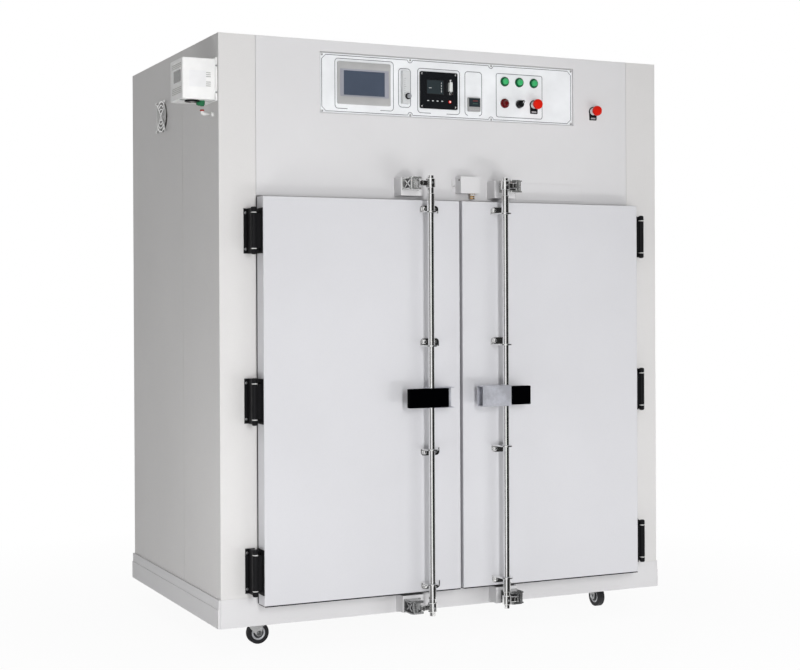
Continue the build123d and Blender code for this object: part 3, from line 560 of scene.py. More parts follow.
METALS = {
    "liner_steel": ((0.60, 0.59, 0.57), 0.3, {"grain": (6, 6, 700)}),
    "bright_chrome": ((0.87, 0.87, 0.865), 0.08, {}),
    "mottled_zinc": ((0.62, 0.63, 0.69), 0.42, {"grain": (90, 90, 90), "spots": 0.8, "pure": 0.4}),
    # pocket_dark: painted shade, a dark colour for the shadowed hollow inside the keeper casting
    "pocket_dark": ((0.10, 0.10, 0.105), 0.4, {"grain": (90, 90, 90), "spots": 0.6, "pure": 0.6}),
    "zinc_plate": ((0.50, 0.51, 0.52), 0.32, {"spots": 0.5}),
    "brass": ((0.78, 0.50, 0.20), 0.22, {"grain": (200, 200, 40)}),
    "hub_steel": ((0.66, 0.67, 0.70), 0.3, {"pure": 0.5}),
    "fork_zinc": ((0.60, 0.60, 0.60), 0.4, {"spots": 0.4, "pure": 0.35}),
}
M = {
    "front_coat": coated("front_coat", (0.70, 0.695, 0.705), 0.46),
    "side_coat": coated("side_coat", (0.70, 0.69, 0.685), 0.5, speck=0.4),
    "door_coat": door_finish("door_coat", (0.645, 0.645, 0.67), 0.42),
    "cast_chrome": cast_chrome("cast_chrome"),
    "clear_acrylic": clear_plastic("clear_acrylic"),
    "lamp_glow": lit_plastic("lamp_glow"),
}
for maker, rows in ((plastic, PLASTICS), (metal, METALS)):
    for name, (colour, rough, more) in rows.items():
        M[name] = maker(name, colour, rough, **more)
print("finishes", len(M))

# %% [markdown]
# Every solid that came in gets one of these finishes, also those that a finer
# piece replaces later, so that none is ever bare.

# %% Finishes on the solids
FINISH_OF = {
    "front_coat": "base_frame front_fascia limit_switch_box keeper_blocks",
    "side_coat": "left_side_panels right_side_panels back_panel top_housing",
    "door_coat": "left_door right_door",
    "liner_steel": "door_frame chamber_liner",
    "silicone_red": "left_gasket right_gasket",
    "printed_plate": "control_plate", "bezel_grey": "hmi", "white_part": "flowmeter",
    "black_gloss": "gas_analyser temp_controller", "green_lens": "pilot_lamps",
    "stop_red": "estop_head_left estop_head_right", "box_white": "instrument_box",
    "black_mould": "selector_knob estop_bases left_grip right_grip hinge_fixed_leaves"
                   " left_hinge_leaves right_hinge_leaves",
    "cast_chrome": "keepers",
    "bright_chrome": "fan_guard left_rod_guides right_rod_guides left_lock_rod right_lock_rod",
    "zinc_plate": " ".join(["caster_plates"] + ["caster_fork_" + place for place in CASTERS]),
    "tyre_black": " ".join("caster_wheel_" + place for place in CASTERS),
}


def give_finish(obj, material):
    """Puts one material on every slot of an object."""
    if not obj.material_slots:
        obj.data.materials.append(material)
    for s in obj.material_slots:
        s.link = "OBJECT"
        s.material = material


for finish, nodes in FINISH_OF.items():
    for name in nodes.split():
        give_finish(NODES[name], M[finish])
print("finished nodes", sum(len(nodes.split()) for nodes in FINISH_OF.values()), "of", len(NODES))

# %% [markdown]
# ## Mesh tools
# New pieces are numpy surfaces: a grid of points from a formula, put into a
# mesh as whole arrays. Three forms cover nearly all of this machine: a turned
# profile, a tube along a path, and an outline drawn out into a slab. A shape is
# a pair of points in cabinet millimetres and faces.

# %% Meshes and their faces
MERGE, TINY = 2e-6, 1e-7
SHARP_DEG = 32


def put_mesh(name, shape, finish, body="cabinet", smooth=True):
    """A shape in cabinet millimetres as a mesh in the shared frame, riding on a body."""
    verts, faces = shape
    mesh = bpy.data.meshes.new(name)
    mesh.from_pydata(cab(verts).tolist(), [], [list(map(int, f)) for f in faces])
    work = bmesh.new()
    work.from_mesh(mesh)
    bmesh.ops.remove_doubles(work, verts=work.verts, dist=MERGE)
    bmesh.ops.dissolve_degenerate(work, edges=work.edges, dist=TINY)
    bmesh.ops.recalc_face_normals(work, faces=work.faces)
    work.to_mesh(mesh)
    work.free()
    mesh.materials.append(M[finish])
    mesh.polygons.foreach_set("use_smooth", [smooth] * len(mesh.polygons))
    mesh.set_sharp_from_angle(angle=np.radians(SHARP_DEG))
    obj = add_object(name, mesh)
    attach(obj, body)
    return obj


def grid_faces(n, m, wrap_n=False, wrap_m=False):
    """Quads of an n by m grid of points, closed round either way if asked."""
    i = np.arange(n if wrap_n else n - 1)
    j = np.arange(m if wrap_m else m - 1)
    a, b = np.meshgrid(i, j, indexing="ij")
    a, b = a.ravel(), b.ravel()
    a2, b2 = (a + 1) % n, (b + 1) % m
    return np.stack([a * m + b, a * m + b2, a2 * m + b2, a2 * m + b], 1).tolist()


def loft(rings, caps=True, wrap=False):
    """A skin over rings of equal length, closed by end caps, or end to end."""
    n, m = len(rings), len(rings[0])
    faces = grid_faces(n, m, wrap_n=wrap, wrap_m=True)
    if caps and not wrap:
        faces += [list(range(m))[::-1], list(range((n - 1) * m, n * m))]
    return np.concatenate(rings), faces


def join(*shapes):
    """Several shapes as one."""
    verts, faces, base = [], [], 0
    for v, f in shapes:
        verts.append(np.asarray(v, float))
        faces += [[int(i) + base for i in q] for q in f]
        base += len(v)
    return np.concatenate(verts), faces


def moved(shape, x, y, z):
    return np.asarray(shape[0], float) + [x, y, z], shape[1]


def scaled(shape, x, y, z):
    """A shape stretched about the origin; -1 mirrors it."""
    return np.asarray(shape[0], float) * [x, y, z], shape[1]


def many(shape, places):
    """Copies of one small shape at many places, as one."""
    return join(*(moved(shape, *p) for p in places))


def at_side(shape, side):
    """The right door's pieces are the left one's, mirrored in the cabinet's middle."""
    v = np.array(shape[0], float)
    if side == "right":
        v[:, 0] = WIDE - v[:, 0]
    return v, shape[1]


print("mesh helpers ready")

# %% [markdown]
# The forms themselves follow. All flat ones are drawn in the front's plane, in
# x and z, and grow towards the viewer, which is -Y; a turn brings them to the
# side, the underside or the back.

# %% Forms
AXES = {"x": (1, 2, 0), "y": (2, 0, 1), "z": (0, 1, 2)}
TURN_TO = {
    "-y": [[1, 0, 0], [0, 1, 0], [0, 0, 1]], "+y": [[-1, 0, 0], [0, -1, 0], [0, 0, 1]],
    "-x": [[0, 1, 0], [-1, 0, 0], [0, 0, 1]], "-z": [[1, 0, 0], [0, 0, -1], [0, 1, 0]],
}


def turned(profile, axis="z", count=32, hollow=False):
    """Surface of revolution. profile is (radius, height) rows from one end to the
    other; a point is (r cos a, r sin a, h) with h along the axis. Ends close at r 0,
    and hollow joins the last row to the first, which makes a ring."""
    p = np.asarray(profile, float)
    a = np.linspace(0, 2 * np.pi, count, endpoint=False)
    r = p[:, :1]
    local = np.stack([r * np.cos(a), r * np.sin(a), np.repeat(p[:, 1:], count, 1)], -1)
    out = np.zeros_like(local)
    out[..., list(AXES[axis])] = local
    return out.reshape(-1, 3), grid_faces(len(p), count, wrap_n=hollow, wrap_m=True)


def to_front(profile, count, hollow=False):
    """A turned piece that grows from 0 towards -Y."""
    return scaled(turned(profile, "y", count, hollow), 1, -1, 1)


def facing(shape, axis):
    """Turns a shape drawn towards -Y to another direction."""
    return np.asarray(shape[0], float) @ np.array(TURN_TO[axis], float).T, shape[1]


def outline(w, h, r, steps=6):
    """Rounded rectangle about the origin, counter-clockwise, as (n, 2) points."""
    a = np.linspace(0, np.pi / 2, steps)
    corner = np.stack([np.cos(a), np.sin(a)], 1) * r
    parts = []
    for k, (sx, sy) in enumerate(((1, 1), (-1, 1), (-1, -1), (1, -1))):
        c, s = np.cos(k * np.pi / 2), np.sin(k * np.pi / 2)
        parts.append(corner @ np.array([[c, s], [-s, c]]) + [sx * (w / 2 - r), sy * (h / 2 - r)])
    return np.concatenate(parts)


def at_depth(loop, d):
    """The points (x, z) of a flat loop at a depth d towards -Y."""
    return np.stack([loop[:, 0], np.full(len(loop), -d), loop[:, 1]], 1)


def pillow(w, h, d, corner, edge, both=True, steps=5):
    """A block with rounded corners and a quarter-round edge. Each ring is a rounded
    rectangle inset by e(1 - cos a) at the depth e(1 - sin a) from its face, and one
    more ring in the face itself keeps it flat; -Y is front."""
    a = np.linspace(0, np.pi / 2, 4)
    front = [(edge * (1 - np.cos(x)), d - edge * (1 - np.sin(x))) for x in a]
    inner = edge + min(0.4, (min(w, h) - 2 * edge) * 0.2)
    back = [(inner, 0.0)] + [(i, d - y) for i, y in front[::-1]] if both else [(0.0, 0.0)]
    return loft([at_depth(outline(w - 2 * i, h - 2 * i, max(corner - i, 0.05), steps), y)
                 for i, y in back + front + [(inner, d)]])


def rim(outer, inner, depth_out, depth_in, edge):
    """A frame between two rounded rectangles (w, h, r), closed all round: outer wall,
    sloping face from depth_out to depth_in, inner wall and back."""
    soft = edge * 0.3
    rows = [(outer, 0, 0.0), (outer, 0, depth_out - edge), (outer, soft, depth_out - soft),
            (outer, edge, depth_out), (inner, -edge, depth_in), (inner, -soft, depth_in - soft),
            (inner, 0, depth_in - edge), (inner, 0, 0.0)]
    return loft([at_depth(outline(w - 2 * i, h - 2 * i, max(r - i, 0.05)), y)
                 for (w, h, r), i, y in rows], wrap=True)


def along(path, closed=True):
    """Unit directions along a path, round its end if it is closed."""
    t = np.roll(path, -1, 0) - np.roll(path, 1, 0) if closed else np.gradient(path, axis=0)
    return t / (np.linalg.norm(t, axis=1)[:, None] + 1e-12)


def slab(loop, depth, edge):
    """An outline (x, z) drawn out towards -Y by depth, with a rounded front edge.
    Rings: back at 0, front minus edge, then inset by edge at the full depth."""
    loop = np.asarray(loop, float)
    t = along(loop)
    inward = np.stack([-t[:, 1], t[:, 0]], 1)
    inward *= np.sign(((loop.mean(0) - loop) * inward).sum(1).mean())
    rows = [(0.0, 0.0), (0.0, depth - edge), (edge * 0.3, depth - edge * 0.3), (edge, depth),
            (edge * 1.4, depth)]
    return loft([at_depth(loop + inward * inset, d) for inset, d in rows])


def tube(path, radius, sides):
    """A round tube along a path: circle points in a frame carried along without twist."""
    p = np.asarray(path, float)
    t = along(p, closed=False)
    ref = np.array([0.0, 0.0, 1.0]) if abs(t[0, 2]) < 0.9 else np.array([1.0, 0.0, 0.0])
    u = np.cross(t, ref)
    u /= np.linalg.norm(u, axis=1)[:, None] + 1e-12
    w = np.cross(t, u)
    a = np.linspace(0, 2 * np.pi, sides, endpoint=False)[None, :, None]
    return loft(p[:, None] + radius * (np.cos(a) * u[:, None] + np.sin(a) * w[:, None]))


def line_ring(loop, width, height, closed=True):
    """A printed or pressed line: a thin square section carried along a path (x, z)."""
    loop = np.asarray(loop, float)
    t = along(loop, closed)
    nrm = np.stack([-t[:, 1], t[:, 0]], 1) * width / 2
    rows = [at_depth(loop + nrm * s, d) for s, d in ((1, 0.0), (1, height), (-1, height), (-1, 0.0))]
    return loft(np.stack(rows, 1), wrap=closed)


print("forms ready")

# %% [markdown]
# ## Screws and bolts
# A pan-head screw is a low dome with a driver's recess, a hex bolt a six-sided
# head with a turned chamfer. Both are drawn once and copied to every place, as
# a maker would take them from one box.

# %% Fasteners
def pan_head(r, h):
    """Dome: radius r at the seat, rising as a quarter ellipse to a small flat
    with a recess in its middle. Height points along -Y."""
    a = np.linspace(0, np.pi / 2 * 0.8, 6)
    dome = [(r * np.cos(x), h * np.sin(x) / np.sin(a[-1])) for x in a[1:]]
    return to_front([(0, 0), (r, 0)] + dome + [(r * 0.28, h), (r * 0.2, h * 0.45), (0, h * 0.4)], 16)


def hex_head(r, h, washer=1.0, count=24):
    """Hex head on a washer: six flats, the top chamfered to a circle. Along -Y."""
    a = np.arange(count) * 2 * np.pi / count
    flat = r * np.cos(np.pi / 6) / np.cos((a % (np.pi / 3)) - np.pi / 6)
    rows = [(1.25 * r, 0.0), (1.25 * r, washer * 0.8), (1.2 * r, washer), (flat, washer),
            (flat, washer + h * 0.8), (np.minimum(flat, r * 0.9), washer + h)]
    return loft([at_depth(np.stack([q * np.cos(a), q * np.sin(a)], 1), d) for q, d in rows])


def fasteners(name, shape, places, finish, body="cabinet", axis="-y", side="left"):
    """One fastener at many places; side mirrors them all to the right if asked."""
    return put_mesh(name, at_side(many(facing(shape, axis), places), side), finish, body)


print("pan head", len(pan_head(3, 1.5)[0]), "hex head", len(hex_head(4, 3)[0]))

# %% [markdown]
# ## The printed plate
# The control plate is a white sheet with thin grey lines: a border that steps
# round the eight screws, and a rounded frame round each instrument. Ink has no
# thickness to speak of, so each line is a strip a quarter of a millimetre high
# that follows a path made of arcs.

# %% Lines on the plate
PLATE_LOW, PLATE_HIGH = node_mm("control_plate")
FACE_Y = PLATE_HIGH[1] - 3.0
PLATE_X = (PLATE_LOW[0] - 4, PLATE_HIGH[0] + 4)
PLATE_MID = (PLATE_X[0] + PLATE_X[1]) / 2
SCREW_X = [PLATE_X[0] + 9, PLATE_MID - 163, PLATE_MID + 163, PLATE_X[1] - 9]
SCREW_Z = [PLATE_LOW[2] + 5, PLATE_HIGH[2] - 5]
INK_WIDE, INK_HIGH = 2.1, 0.25


def arc(x, z, r, a0, a1, n=9):
    """Points on a circle about (x, z) from angle a0 to a1 in degrees."""
    a = np.radians(np.linspace(a0, a1, n))
    return np.stack([x + r * np.cos(a), z + r * np.sin(a)], 1)


def border_path(r=9.5, cut=15.0):
    """The plate's border: straight runs through the screws' rows, an arc of radius r
    bulging inwards round each middle screw, and a straight cut across each corner."""
    x, z = SCREW_X, SCREW_Z
    return np.concatenate([
        [[x[0], z[0] + cut], [x[0] + cut, z[0]]],
        arc(x[1], z[0], r, 180, 0), arc(x[2], z[0], r, 180, 0),
        [[x[3] - cut, z[0]], [x[3], z[0] + cut], [x[3], z[1] - cut], [x[3] - cut, z[1]]],
        arc(x[2], z[1], r, 360, 180), arc(x[1], z[1], r, 360, 180),
        [[x[0] + cut, z[1]], [x[0], z[1] - cut]]])


def frame_path(x0, x1, z0, z1, r, gap=None):
    """A rounded frame, counter-clockwise; gap leaves part of the lower line open."""
    corners = ((x1 - r, z0 + r, -90), (x1 - r, z1 - r, 0), (x0 + r, z1 - r, 90), (x0 + r, z0 + r, 180))
    p = np.concatenate([arc(x, z, r, a, a + 90) for x, z, a in corners])
    return np.concatenate([[[gap[1], z0]], p, [[gap[0], z0]]]) if gap else p


FRAMES = [(424.5, 648, 1768, 1941.5, 12, (471, 597)), (668, 715, 1784, 1920.5, 12, None),
          (743, 911, 1768, 1926, 12, (795, 858)), (932.5, 1001, 1768, 1925.5, 12, (942, 992)),
          (1061, 1254, 1768, 1926.5, 8, None)]
ink = [line_ring(border_path(), INK_WIDE, INK_HIGH)]
for *row, gap in FRAMES:
    ink.append(line_ring(frame_path(*row, gap), INK_WIDE, INK_HIGH, closed=gap is None))
put_mesh("plate_lines", moved(join(*ink), 0, FACE_Y, 0), "print_line", smooth=False)
# Painted shade: a grey strip in the gap along the plate's top edge stands for the shadow that the recess's upper edge
# casts there.
top_gap_line = [[x, PLATE_HIGH[2] + 2.0] for x in (PLATE_LOW[0], PLATE_HIGH[0])]
top_gap_shade = moved(line_ring(top_gap_line, 2.4, 1.2, closed=False), 0, PLATE_HIGH[1], 0)
put_mesh("plate_top_shade", top_gap_shade, "bezel_grey", smooth=False)
screw_places = [(x, FACE_Y, z) for x in SCREW_X for z in SCREW_Z]
fasteners("plate_screws", pan_head(4.7, 2.9), screw_places, "bright_chrome")
print("plate face", FACE_Y, "screws", len(screw_places))

# %% [markdown]
# ## The touch panel
# A flat bezel with two wide bars, a slightly darker frame that slopes inwards,
# and the dark display behind. The bezel and the slope are both rims between two
# rounded rectangles, and the display is a thin pillow.

# %% Touch panel
def touch_panel():
    cx, cz, w, h = front_view("hmi")
    off = 1.0
    v, f = moved(rim((w, h, 4), (186, 96, 3), 6.0, 6.0, 1.2), cx, FACE_Y, cz)
    v[np.abs(v[:, 0] - cx) < w / 2 - 5] += [off, 0, off]
    slope = moved(rim((186.5, 96.5, 3), (156, 85, 1.5), 5.2, 3.2, 0.5), cx + off, FACE_Y, cz + off)
    display = moved(pillow(157, 86, 3.0, 1.5, 0.3), cx + off, FACE_Y, cz + off)
    for name, shape, finish, slot in (("panel_bezel", (v, f), "bezel_grey", "grey_bezel"),
                                      ("panel_slope", slope, "bezel_lilac", "grey_bezel"),
                                      ("panel_display", display, "screen_glass", "black_gloss")):
        piece = put_mesh(name, shape, finish)
        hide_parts("hmi")
    print("touch panel", round(w), round(h))


touch_panel()

# %% [markdown]
# ## The gas flowmeter
# A block of clear acrylic with a bored tube, a fitting at each end, a scale and
# a small knob with a knurled skirt. The block is a rounded pillow in a clear
# material; the rest are turned profiles inside or in front of it.

# %% Flowmeter
def knob(r, length):
    """Skirt, waist and slightly domed end of a small metal knob, seat to tip."""
    rows = [(0, 0), (1, 0), (1, 0.18), (0.72, 0.26), (0.72, 0.4), (0.94, 0.46), (0.98, 0.9), (0.86, 1),
            (0.4, 0.985), (0, 0.97)]
    return to_front([(r * a, length * b) for a, b in rows], 28)


def printed(w, h, d=0.2, corner=0.5, edge=0.08, steps=2):
    """A thin printed bar, open at its back."""
    return pillow(w, h, d, corner, edge, both=False, steps=steps)


def flow_fitting(low, high):
    """A turned plug with a groove round its middle, from one height to another."""
    m = (low + high) / 2
    return turned([(0, low), (8, low), (8, m - 1.5), (6, m - 1), (6, m + 1), (8, m + 1.5), (8, high),
                   (0, high)], "z", 20)


def flowmeter():
    cx, cz, w, h = front_view("flowmeter")
    left, low, high = cx - w / 2, cz - h / 2, cz + h / 2
    block = put_mesh("flow_block", moved(pillow(w, h, 18, 3, 1.2), cx, FACE_Y, cz), "clear_acrylic")
    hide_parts("flowmeter")
    tube_y, face = FACE_Y - 9.0, FACE_Y - 18
    z0, z1 = low + 24, high - 20
    bore = turned([(0, z0), (4.2, z0), (5.6, z1), (0, z1)], "z", 20)
    put_mesh("flow_bore", moved(bore, cx + 2, tube_y, 0), "tube_white")
    ends = join(flow_fitting(low + 3, z0 - 0.5), flow_fitting(z1 + 0.5, high - 3))
    put_mesh("flow_fittings", moved(ends, cx + 1, tube_y, 0), "zinc_plate")
    ticks = []
    for k in range(9):
        long = 7.0 if k % 4 == 0 else 4.5
        z = z0 + (k + 1) * (z1 - z0) / 10
        ticks.append(moved(printed(long, 0.9, 0.25, 0.2, 0.1), cx - 9 + long / 2, face + 0.05, z))
    put_mesh("flow_scale", join(*ticks), "print_line")
    put_mesh("flow_knob", moved(knob(8.0, 16.5), left + 20, face, low + 26), "hub_grey")
    rows = [(6.3, 0), (10.6, 0), (11.0, 1), (10.8, 6), (8.6, 7.4), (6.3, 6.6)]
    put_mesh("flow_knob_ring", moved(to_front(rows, 28, hollow=True), left + 20, face, low + 26), "black_mould")
    print("flowmeter", round(w), round(h))


flowmeter()

# %% [markdown]
# ## The gas analyser
# A black panel with four bright screws, a display behind glass, a row of
# membrane keys, a small sampling tube with its knob and a lit red lamp. What
# the maker printed there is left off; plain key pads and bars stay.

# %% Analyser
def gas_analyser():
    (x0, _, z0), (x1, _, z1) = node_mm("gas_analyser")
    front = FACE_Y - 6.0
    spots = [(x, front, z) for x in (x0 + 8, x1 - 8) for z in (z0 + 8, z1 - 8)]
    fasteners("analyser_screws", pan_head(3.6, 1.8), spots, "bright_chrome")
    cx, cz = x0 + 60.5, z0 + 78.5
    bars = [moved(printed(2.2, 5.5 + 1.5 * (k % 2)), cx + 25, front + 1.6, cz + 14.5 - 9.6 * k)
            for k in range(4)] + [moved(printed(11, 1.8), cx - 20, front + 1.6, cz - 4)]
    keys = many(printed(8.0, 3.4, 0.3, 1.6, 0.1, 3), [(x0 + 32 + 18.5 * k, front, z0 + 28.5) for k in range(4)])
    cap = turned([(0, 0), (4.8, 0), (5.2, 2), (5.2, 6), (3.8, 8), (0, 8)], "z", 20)
    lamp = to_front([(0, 0), (5.6, 0), (5.6, 1.0), (4.9, 2.6), (3.2, 3.9), (1.4, 4.5), (0, 4.6)], 24)
    core = to_front([(0, 0), (2.9, 0), (2.9, 0.6), (2.2, 1.4), (0, 1.6)], 20)
    for name, shape, finish in (
            ("frame", moved(rim((71, 54, 2), (65, 48, 2), 3.2, 1.6, 0.4), cx, front + 3, cz), "black_mould"),
            ("display", moved(pillow(66, 49, 1.4, 1.5, 0.2), cx, front + 3, cz), "display_dark"),
            ("bars", join(*bars), "pale_mark"), ("keys", keys, "pale_mark"),
            ("tube", moved(pillow(14.6, 37, 11.6, 4.5, 2.5), x0 + 118, front, z0 + 80), "tube_white"),
            ("tube_cap", moved(cap, x0 + 118, front - 5.6, z0 + 97.5), "bright_chrome"),
            ("knob", moved(knob(6.4, 15.6), x0 + 122, front, z0 + 57.5), "bright_chrome"),
            ("lamp", moved(lamp, x0 + 118, front, z0 + 27.5), "stop_red"),
            ("lamp_core", moved(core, x0 + 117.6, front - 4.1, z0 + 27.5), "lamp_glow")):
        put_mesh("analyser_" + name, shape, finish)
    print("analyser", round(x1 - x0), round(z1 - z0))


gas_analyser()

# %% [markdown]
# ## The temperature controller
# A standard square controller: a grey moulded body, a dark display in the
# upper part and four keys below. The display is a thin plate on the body.

# %% Controller
def controller():
    cx, cz, w, _ = front_view("temp_controller")
    body = put_mesh("controller_body", moved(pillow(w, w, 9, 2, 1.0), cx, FACE_Y, cz), "bezel_taupe")
    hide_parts("temp_controller")
    display = moved(pillow(w - 5, 31, 1.2, 1.0, 0.4), cx, FACE_Y - 8.6, cz + 7.0)
    keys = many(pillow(7, 4.2, 0.9, 1.2, 0.3), [(cx - 15 + 10 * k, FACE_Y - 8.8, cz - 17.5) for k in range(4)])
    rows = [moved(printed(20, tall, corner=0.6), cx + 3, FACE_Y - 9.8, cz + up) for tall, up in ((5, 13), (3.6, 3))]
    for name, shape, finish in (("display", display, "display_dark"), ("red_row", rows[0], "digit_red"),
                                ("green_row", rows[1], "digit_green"), ("keys", keys, "bezel_grey")):
        put_mesh("controller_" + name, shape, finish)
    print("controller", round(w))


controller()

# %% [markdown]
# ## Signal lamps
# Each lamp is a ring with a domed lens. Both are turned: the ring steps down
# from the plate, and the lens rises as a flat dome. The green ones share one
# mesh, the red one has its own so that it can have its own colour.

# %% Lamps
LAMP_LOW, LAMP_HIGH = node_mm("pilot_lamps")
LAMP_R = 17.5
LAMP_X = (LAMP_LOW[0] + LAMP_R, (LAMP_LOW[0] + LAMP_HIGH[0]) / 2, LAMP_HIGH[0] - LAMP_R)
LAMP_Z = (LAMP_LOW[2] + LAMP_R, LAMP_HIGH[2] - LAMP_R)
RING_ROWS = [(11.3, 0), (LAMP_R, 0), (LAMP_R, 3.0), (16.4, 5.2), (12.6, 6.2), (11.6, 5.8)]
LENS_ROWS = [(0, 0), (11.3, 0), (11.6, 3), (11.4, 9), (10.6, 12.6), (8.6, 15.2), (5.2, 16.6), (0, 17.0)]


def lamps():
    ring, lens = to_front(RING_ROWS, 36, hollow=True), to_front(LENS_ROWS, 36)
    greens = [(x, FACE_Y, LAMP_Z[1]) for x in LAMP_X]
    red = [(LAMP_X[0], FACE_Y, LAMP_Z[0])]
    for name, shape, spots, finish in (
            ("lamp_rings", ring, greens, "green_ring"), ("lamp_lenses", lens, greens, "green_lens"),
            ("red_lamp_ring", ring, red, "red_ring"), ("red_lamp_lens", lens, red, "red_lens")):
        piece = put_mesh(name, many(shape, spots), finish)
        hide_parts("pilot_lamps")
    print("lamps", len(greens) + len(red))


lamps()

# %% [markdown]
# ## Selector and stop buttons
# The selector keeps its solid and gets a thin grey ring under it and a white
# mark on its bar, which points along the knob's turn.

# %% Selector
MARK_TURN = np.radians(35)


def selector():
    place = np.array([LAMP_X[1], FACE_Y, LAMP_Z[0]])
    ring = to_front([(13.4, 0), (15.6, 0), (15.4, 1.6), (14.2, 2.0), (13.4, 1.6)], 36, hollow=True)
    put_mesh("selector_ring", moved(ring, *place), "zinc_plate")
    c, s = np.cos(MARK_TURN), np.sin(MARK_TURN)
    v, f = moved(printed(1.6, 11, 0.3, 0.7, 0.1, 3), 0, 0, 7.5)
    mark = v @ np.array([[c, 0, s], [0, 1, 0], [-s, 0, c]]).T + place + [0, -26.0, 0]
    put_mesh("selector_mark", (mark, f), "label_white", "selector")
    print("selector at", place.round())


selector()

# %% [markdown]
# A stop button is a mushroom: a neck, a wide cap with a soft edge and a shallow
# crown, above a white collar on a black plate with a tag.

# %% Stop buttons
STOP_CAP = [(0, 32), (9, 32), (9, 18), (12, 16.6), (17.2, 15), (18.3, 13), (18.5, 10), (18.3, 5.5), (17.2, 2.6),
            (15.2, 1.2), (9.5, 0.4), (0, 0)]
COLLAR = [(10.2, 0), (13.4, 0), (13.6, 4), (13.2, 11.6), (12.6, 12.6), (11, 12.6), (10.2, 11.8)]
TAG = np.concatenate([arc(0, 0, 17.2, -22, 202, 25), [[-15, -31], [-13.5, -32.6], [13.5, -32.6], [15, -31]]])


def stop_button(side, body):
    cx, cz, _, _ = front_view("estop_head_" + side)
    tip = node_mm("estop_head_" + side)[0][1]
    base = tip + 40.0
    cap = put_mesh("stop_cap_" + side, moved(turned(STOP_CAP, "y", 40), cx, tip, cz), "stop_red", body)
    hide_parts("estop_head_" + side)
    piece = put_mesh("stop_plate_" + side, moved(slab(TAG, 3.0, 0.6), cx, base, cz), "black_mould")
    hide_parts("estop_bases")
    ring = moved(to_front(COLLAR, 36, hollow=True), cx, base - 2.0, cz)
    collar = put_mesh("stop_collar_" + side, ring, "label_white")
    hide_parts("estop_bases")
    label = moved(printed(20, 5.5, 0.5, 1.0, 0.2, 5), cx, base - 3.0, cz - 26)
    put_mesh("stop_label_" + side, label, "label_grey")
    print("stop button", side, round(cx), round(cz))


stop_button("left", "stop_button_left")
stop_button("right", "stop_button_right")

# %% [markdown]
# ## Lock rods and handles
# On each door a chrome rod runs from top to bottom. A turn of its handle swings
# a cam out of the keeper at each end. The bar with its collars and sleeves is
# one turned profile. The handle is a bent channel of galvanised sheet and a
# black moulded grip.

# %% Rods
GUIDE_LOW, GUIDE_HIGH = node_mm("left_rod_guides")
GUIDE_Z = (GUIDE_LOW[2] + 25, GUIDE_HIGH[2] - 25)
ROD_LOW, ROD_HIGH = node_mm("left_lock_rod")
ROD_X, ROD_Y = ROD_LOW[0] + 45.0, GUIDE_LOW[1] + 23.0
CAM_Z = (ROD_HIGH[2] - 28.0, ROD_LOW[2] + 31.0)
HANDLE_Z = front_view("left_grip")[1]
ROD_R, SLEEVE_R, COLLAR_R = 11.0, 13.3, 16.0


def thicker(z0, z1, r, edge):
    """A step up from the rod to radius r between two heights, its edges chamfered."""
    return [(ROD_R, z0), (r - edge, z0), (r, z0 + edge), (r, z1 - edge), (r - edge, z1), (ROD_R, z1)]


def rod_profile():
    """Radius against height: chamfered ends, a sleeve beyond each outer guide and a
    collar with rounded edges at each cam."""
    low, high = ROD_LOW[2], ROD_HIGH[2]
    top_cam, low_cam = (thicker(z - 16, z + 16, COLLAR_R, 1.5) for z in CAM_Z)
    low_sleeve = thicker(GUIDE_Z[0] - 50.5, GUIDE_Z[0] - 2.5, SLEEVE_R, 1)
    top_sleeve = thicker(GUIDE_Z[1] + 2.5, GUIDE_Z[1] + 63.5, SLEEVE_R, 1)
    return ([(0, low), (ROD_R - 2, low), (ROD_R, low + 2)] + low_cam + low_sleeve + top_sleeve + top_cam
            + [(ROD_R, high - 2), (ROD_R - 2, high), (0, high)])


def lock_rod(side):
    body, node_name = side + "_lock", side + "_lock_rod"
    bar = moved(turned(rod_profile(), "z", 48), ROD_X, ROD_Y, 0)
    arms = []
    for z in CAM_Z:
        arms.append(moved(pillow(45, 20, 12, 4, 2.6), ROD_X - 22.5, ROD_Y + 6, z))
        arms.append(moved(line_ring(outline(13, 15, 6, 5), 2.6, 1.6), ROD_X - 36.5, ROD_Y - 5.4, z))
    for name, shape in (("_rod_bar", bar), ("_cams", join(*arms))):
        piece = put_mesh(side + name, at_side(shape, side), "bright_chrome", body)
        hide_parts(node_name)
    pins = [(ROD_X, ROD_Y - COLLAR_R + 0.6, z) for z in CAM_Z]
    fasteners(side + "_cam_screws", pan_head(4.0, 2.0), pins, "zinc_plate", body, side=side)
    print(side, "rod", round(ROD_LOW[2]), round(ROD_HIGH[2]))


for side in SIDES:
    lock_rod(side)

# %% [markdown]
# The channel is sheet bent to a U. Its section is a path with two round bends,
# carried along the handle; the section is given a thickness by a second path
# set inside it. The left channel opens to the front and holds the grip, the
# right one is the same piece turned over, so its flat web faces the viewer.

# %% Channels
SHEET, BEND_R = 3.0, 3.0
CHANNEL_TALL = 73


def bent_path(depth, inset, r):
    """Half a U-section in (y, z): down one flange, round two bends of radius r by way
    of the web, and out along the other flange, all set in by inset."""
    a = np.radians(np.linspace(0, 90, 5))
    c, s, top = r * np.cos(a), r * np.sin(a), CHANNEL_TALL / 2 - inset
    web = -inset - r
    upper, lower = zip(web + s, top - r + c), zip(web + c, r - top - s)
    return [(-depth, top), *upper, *lower, (-depth, -top)]


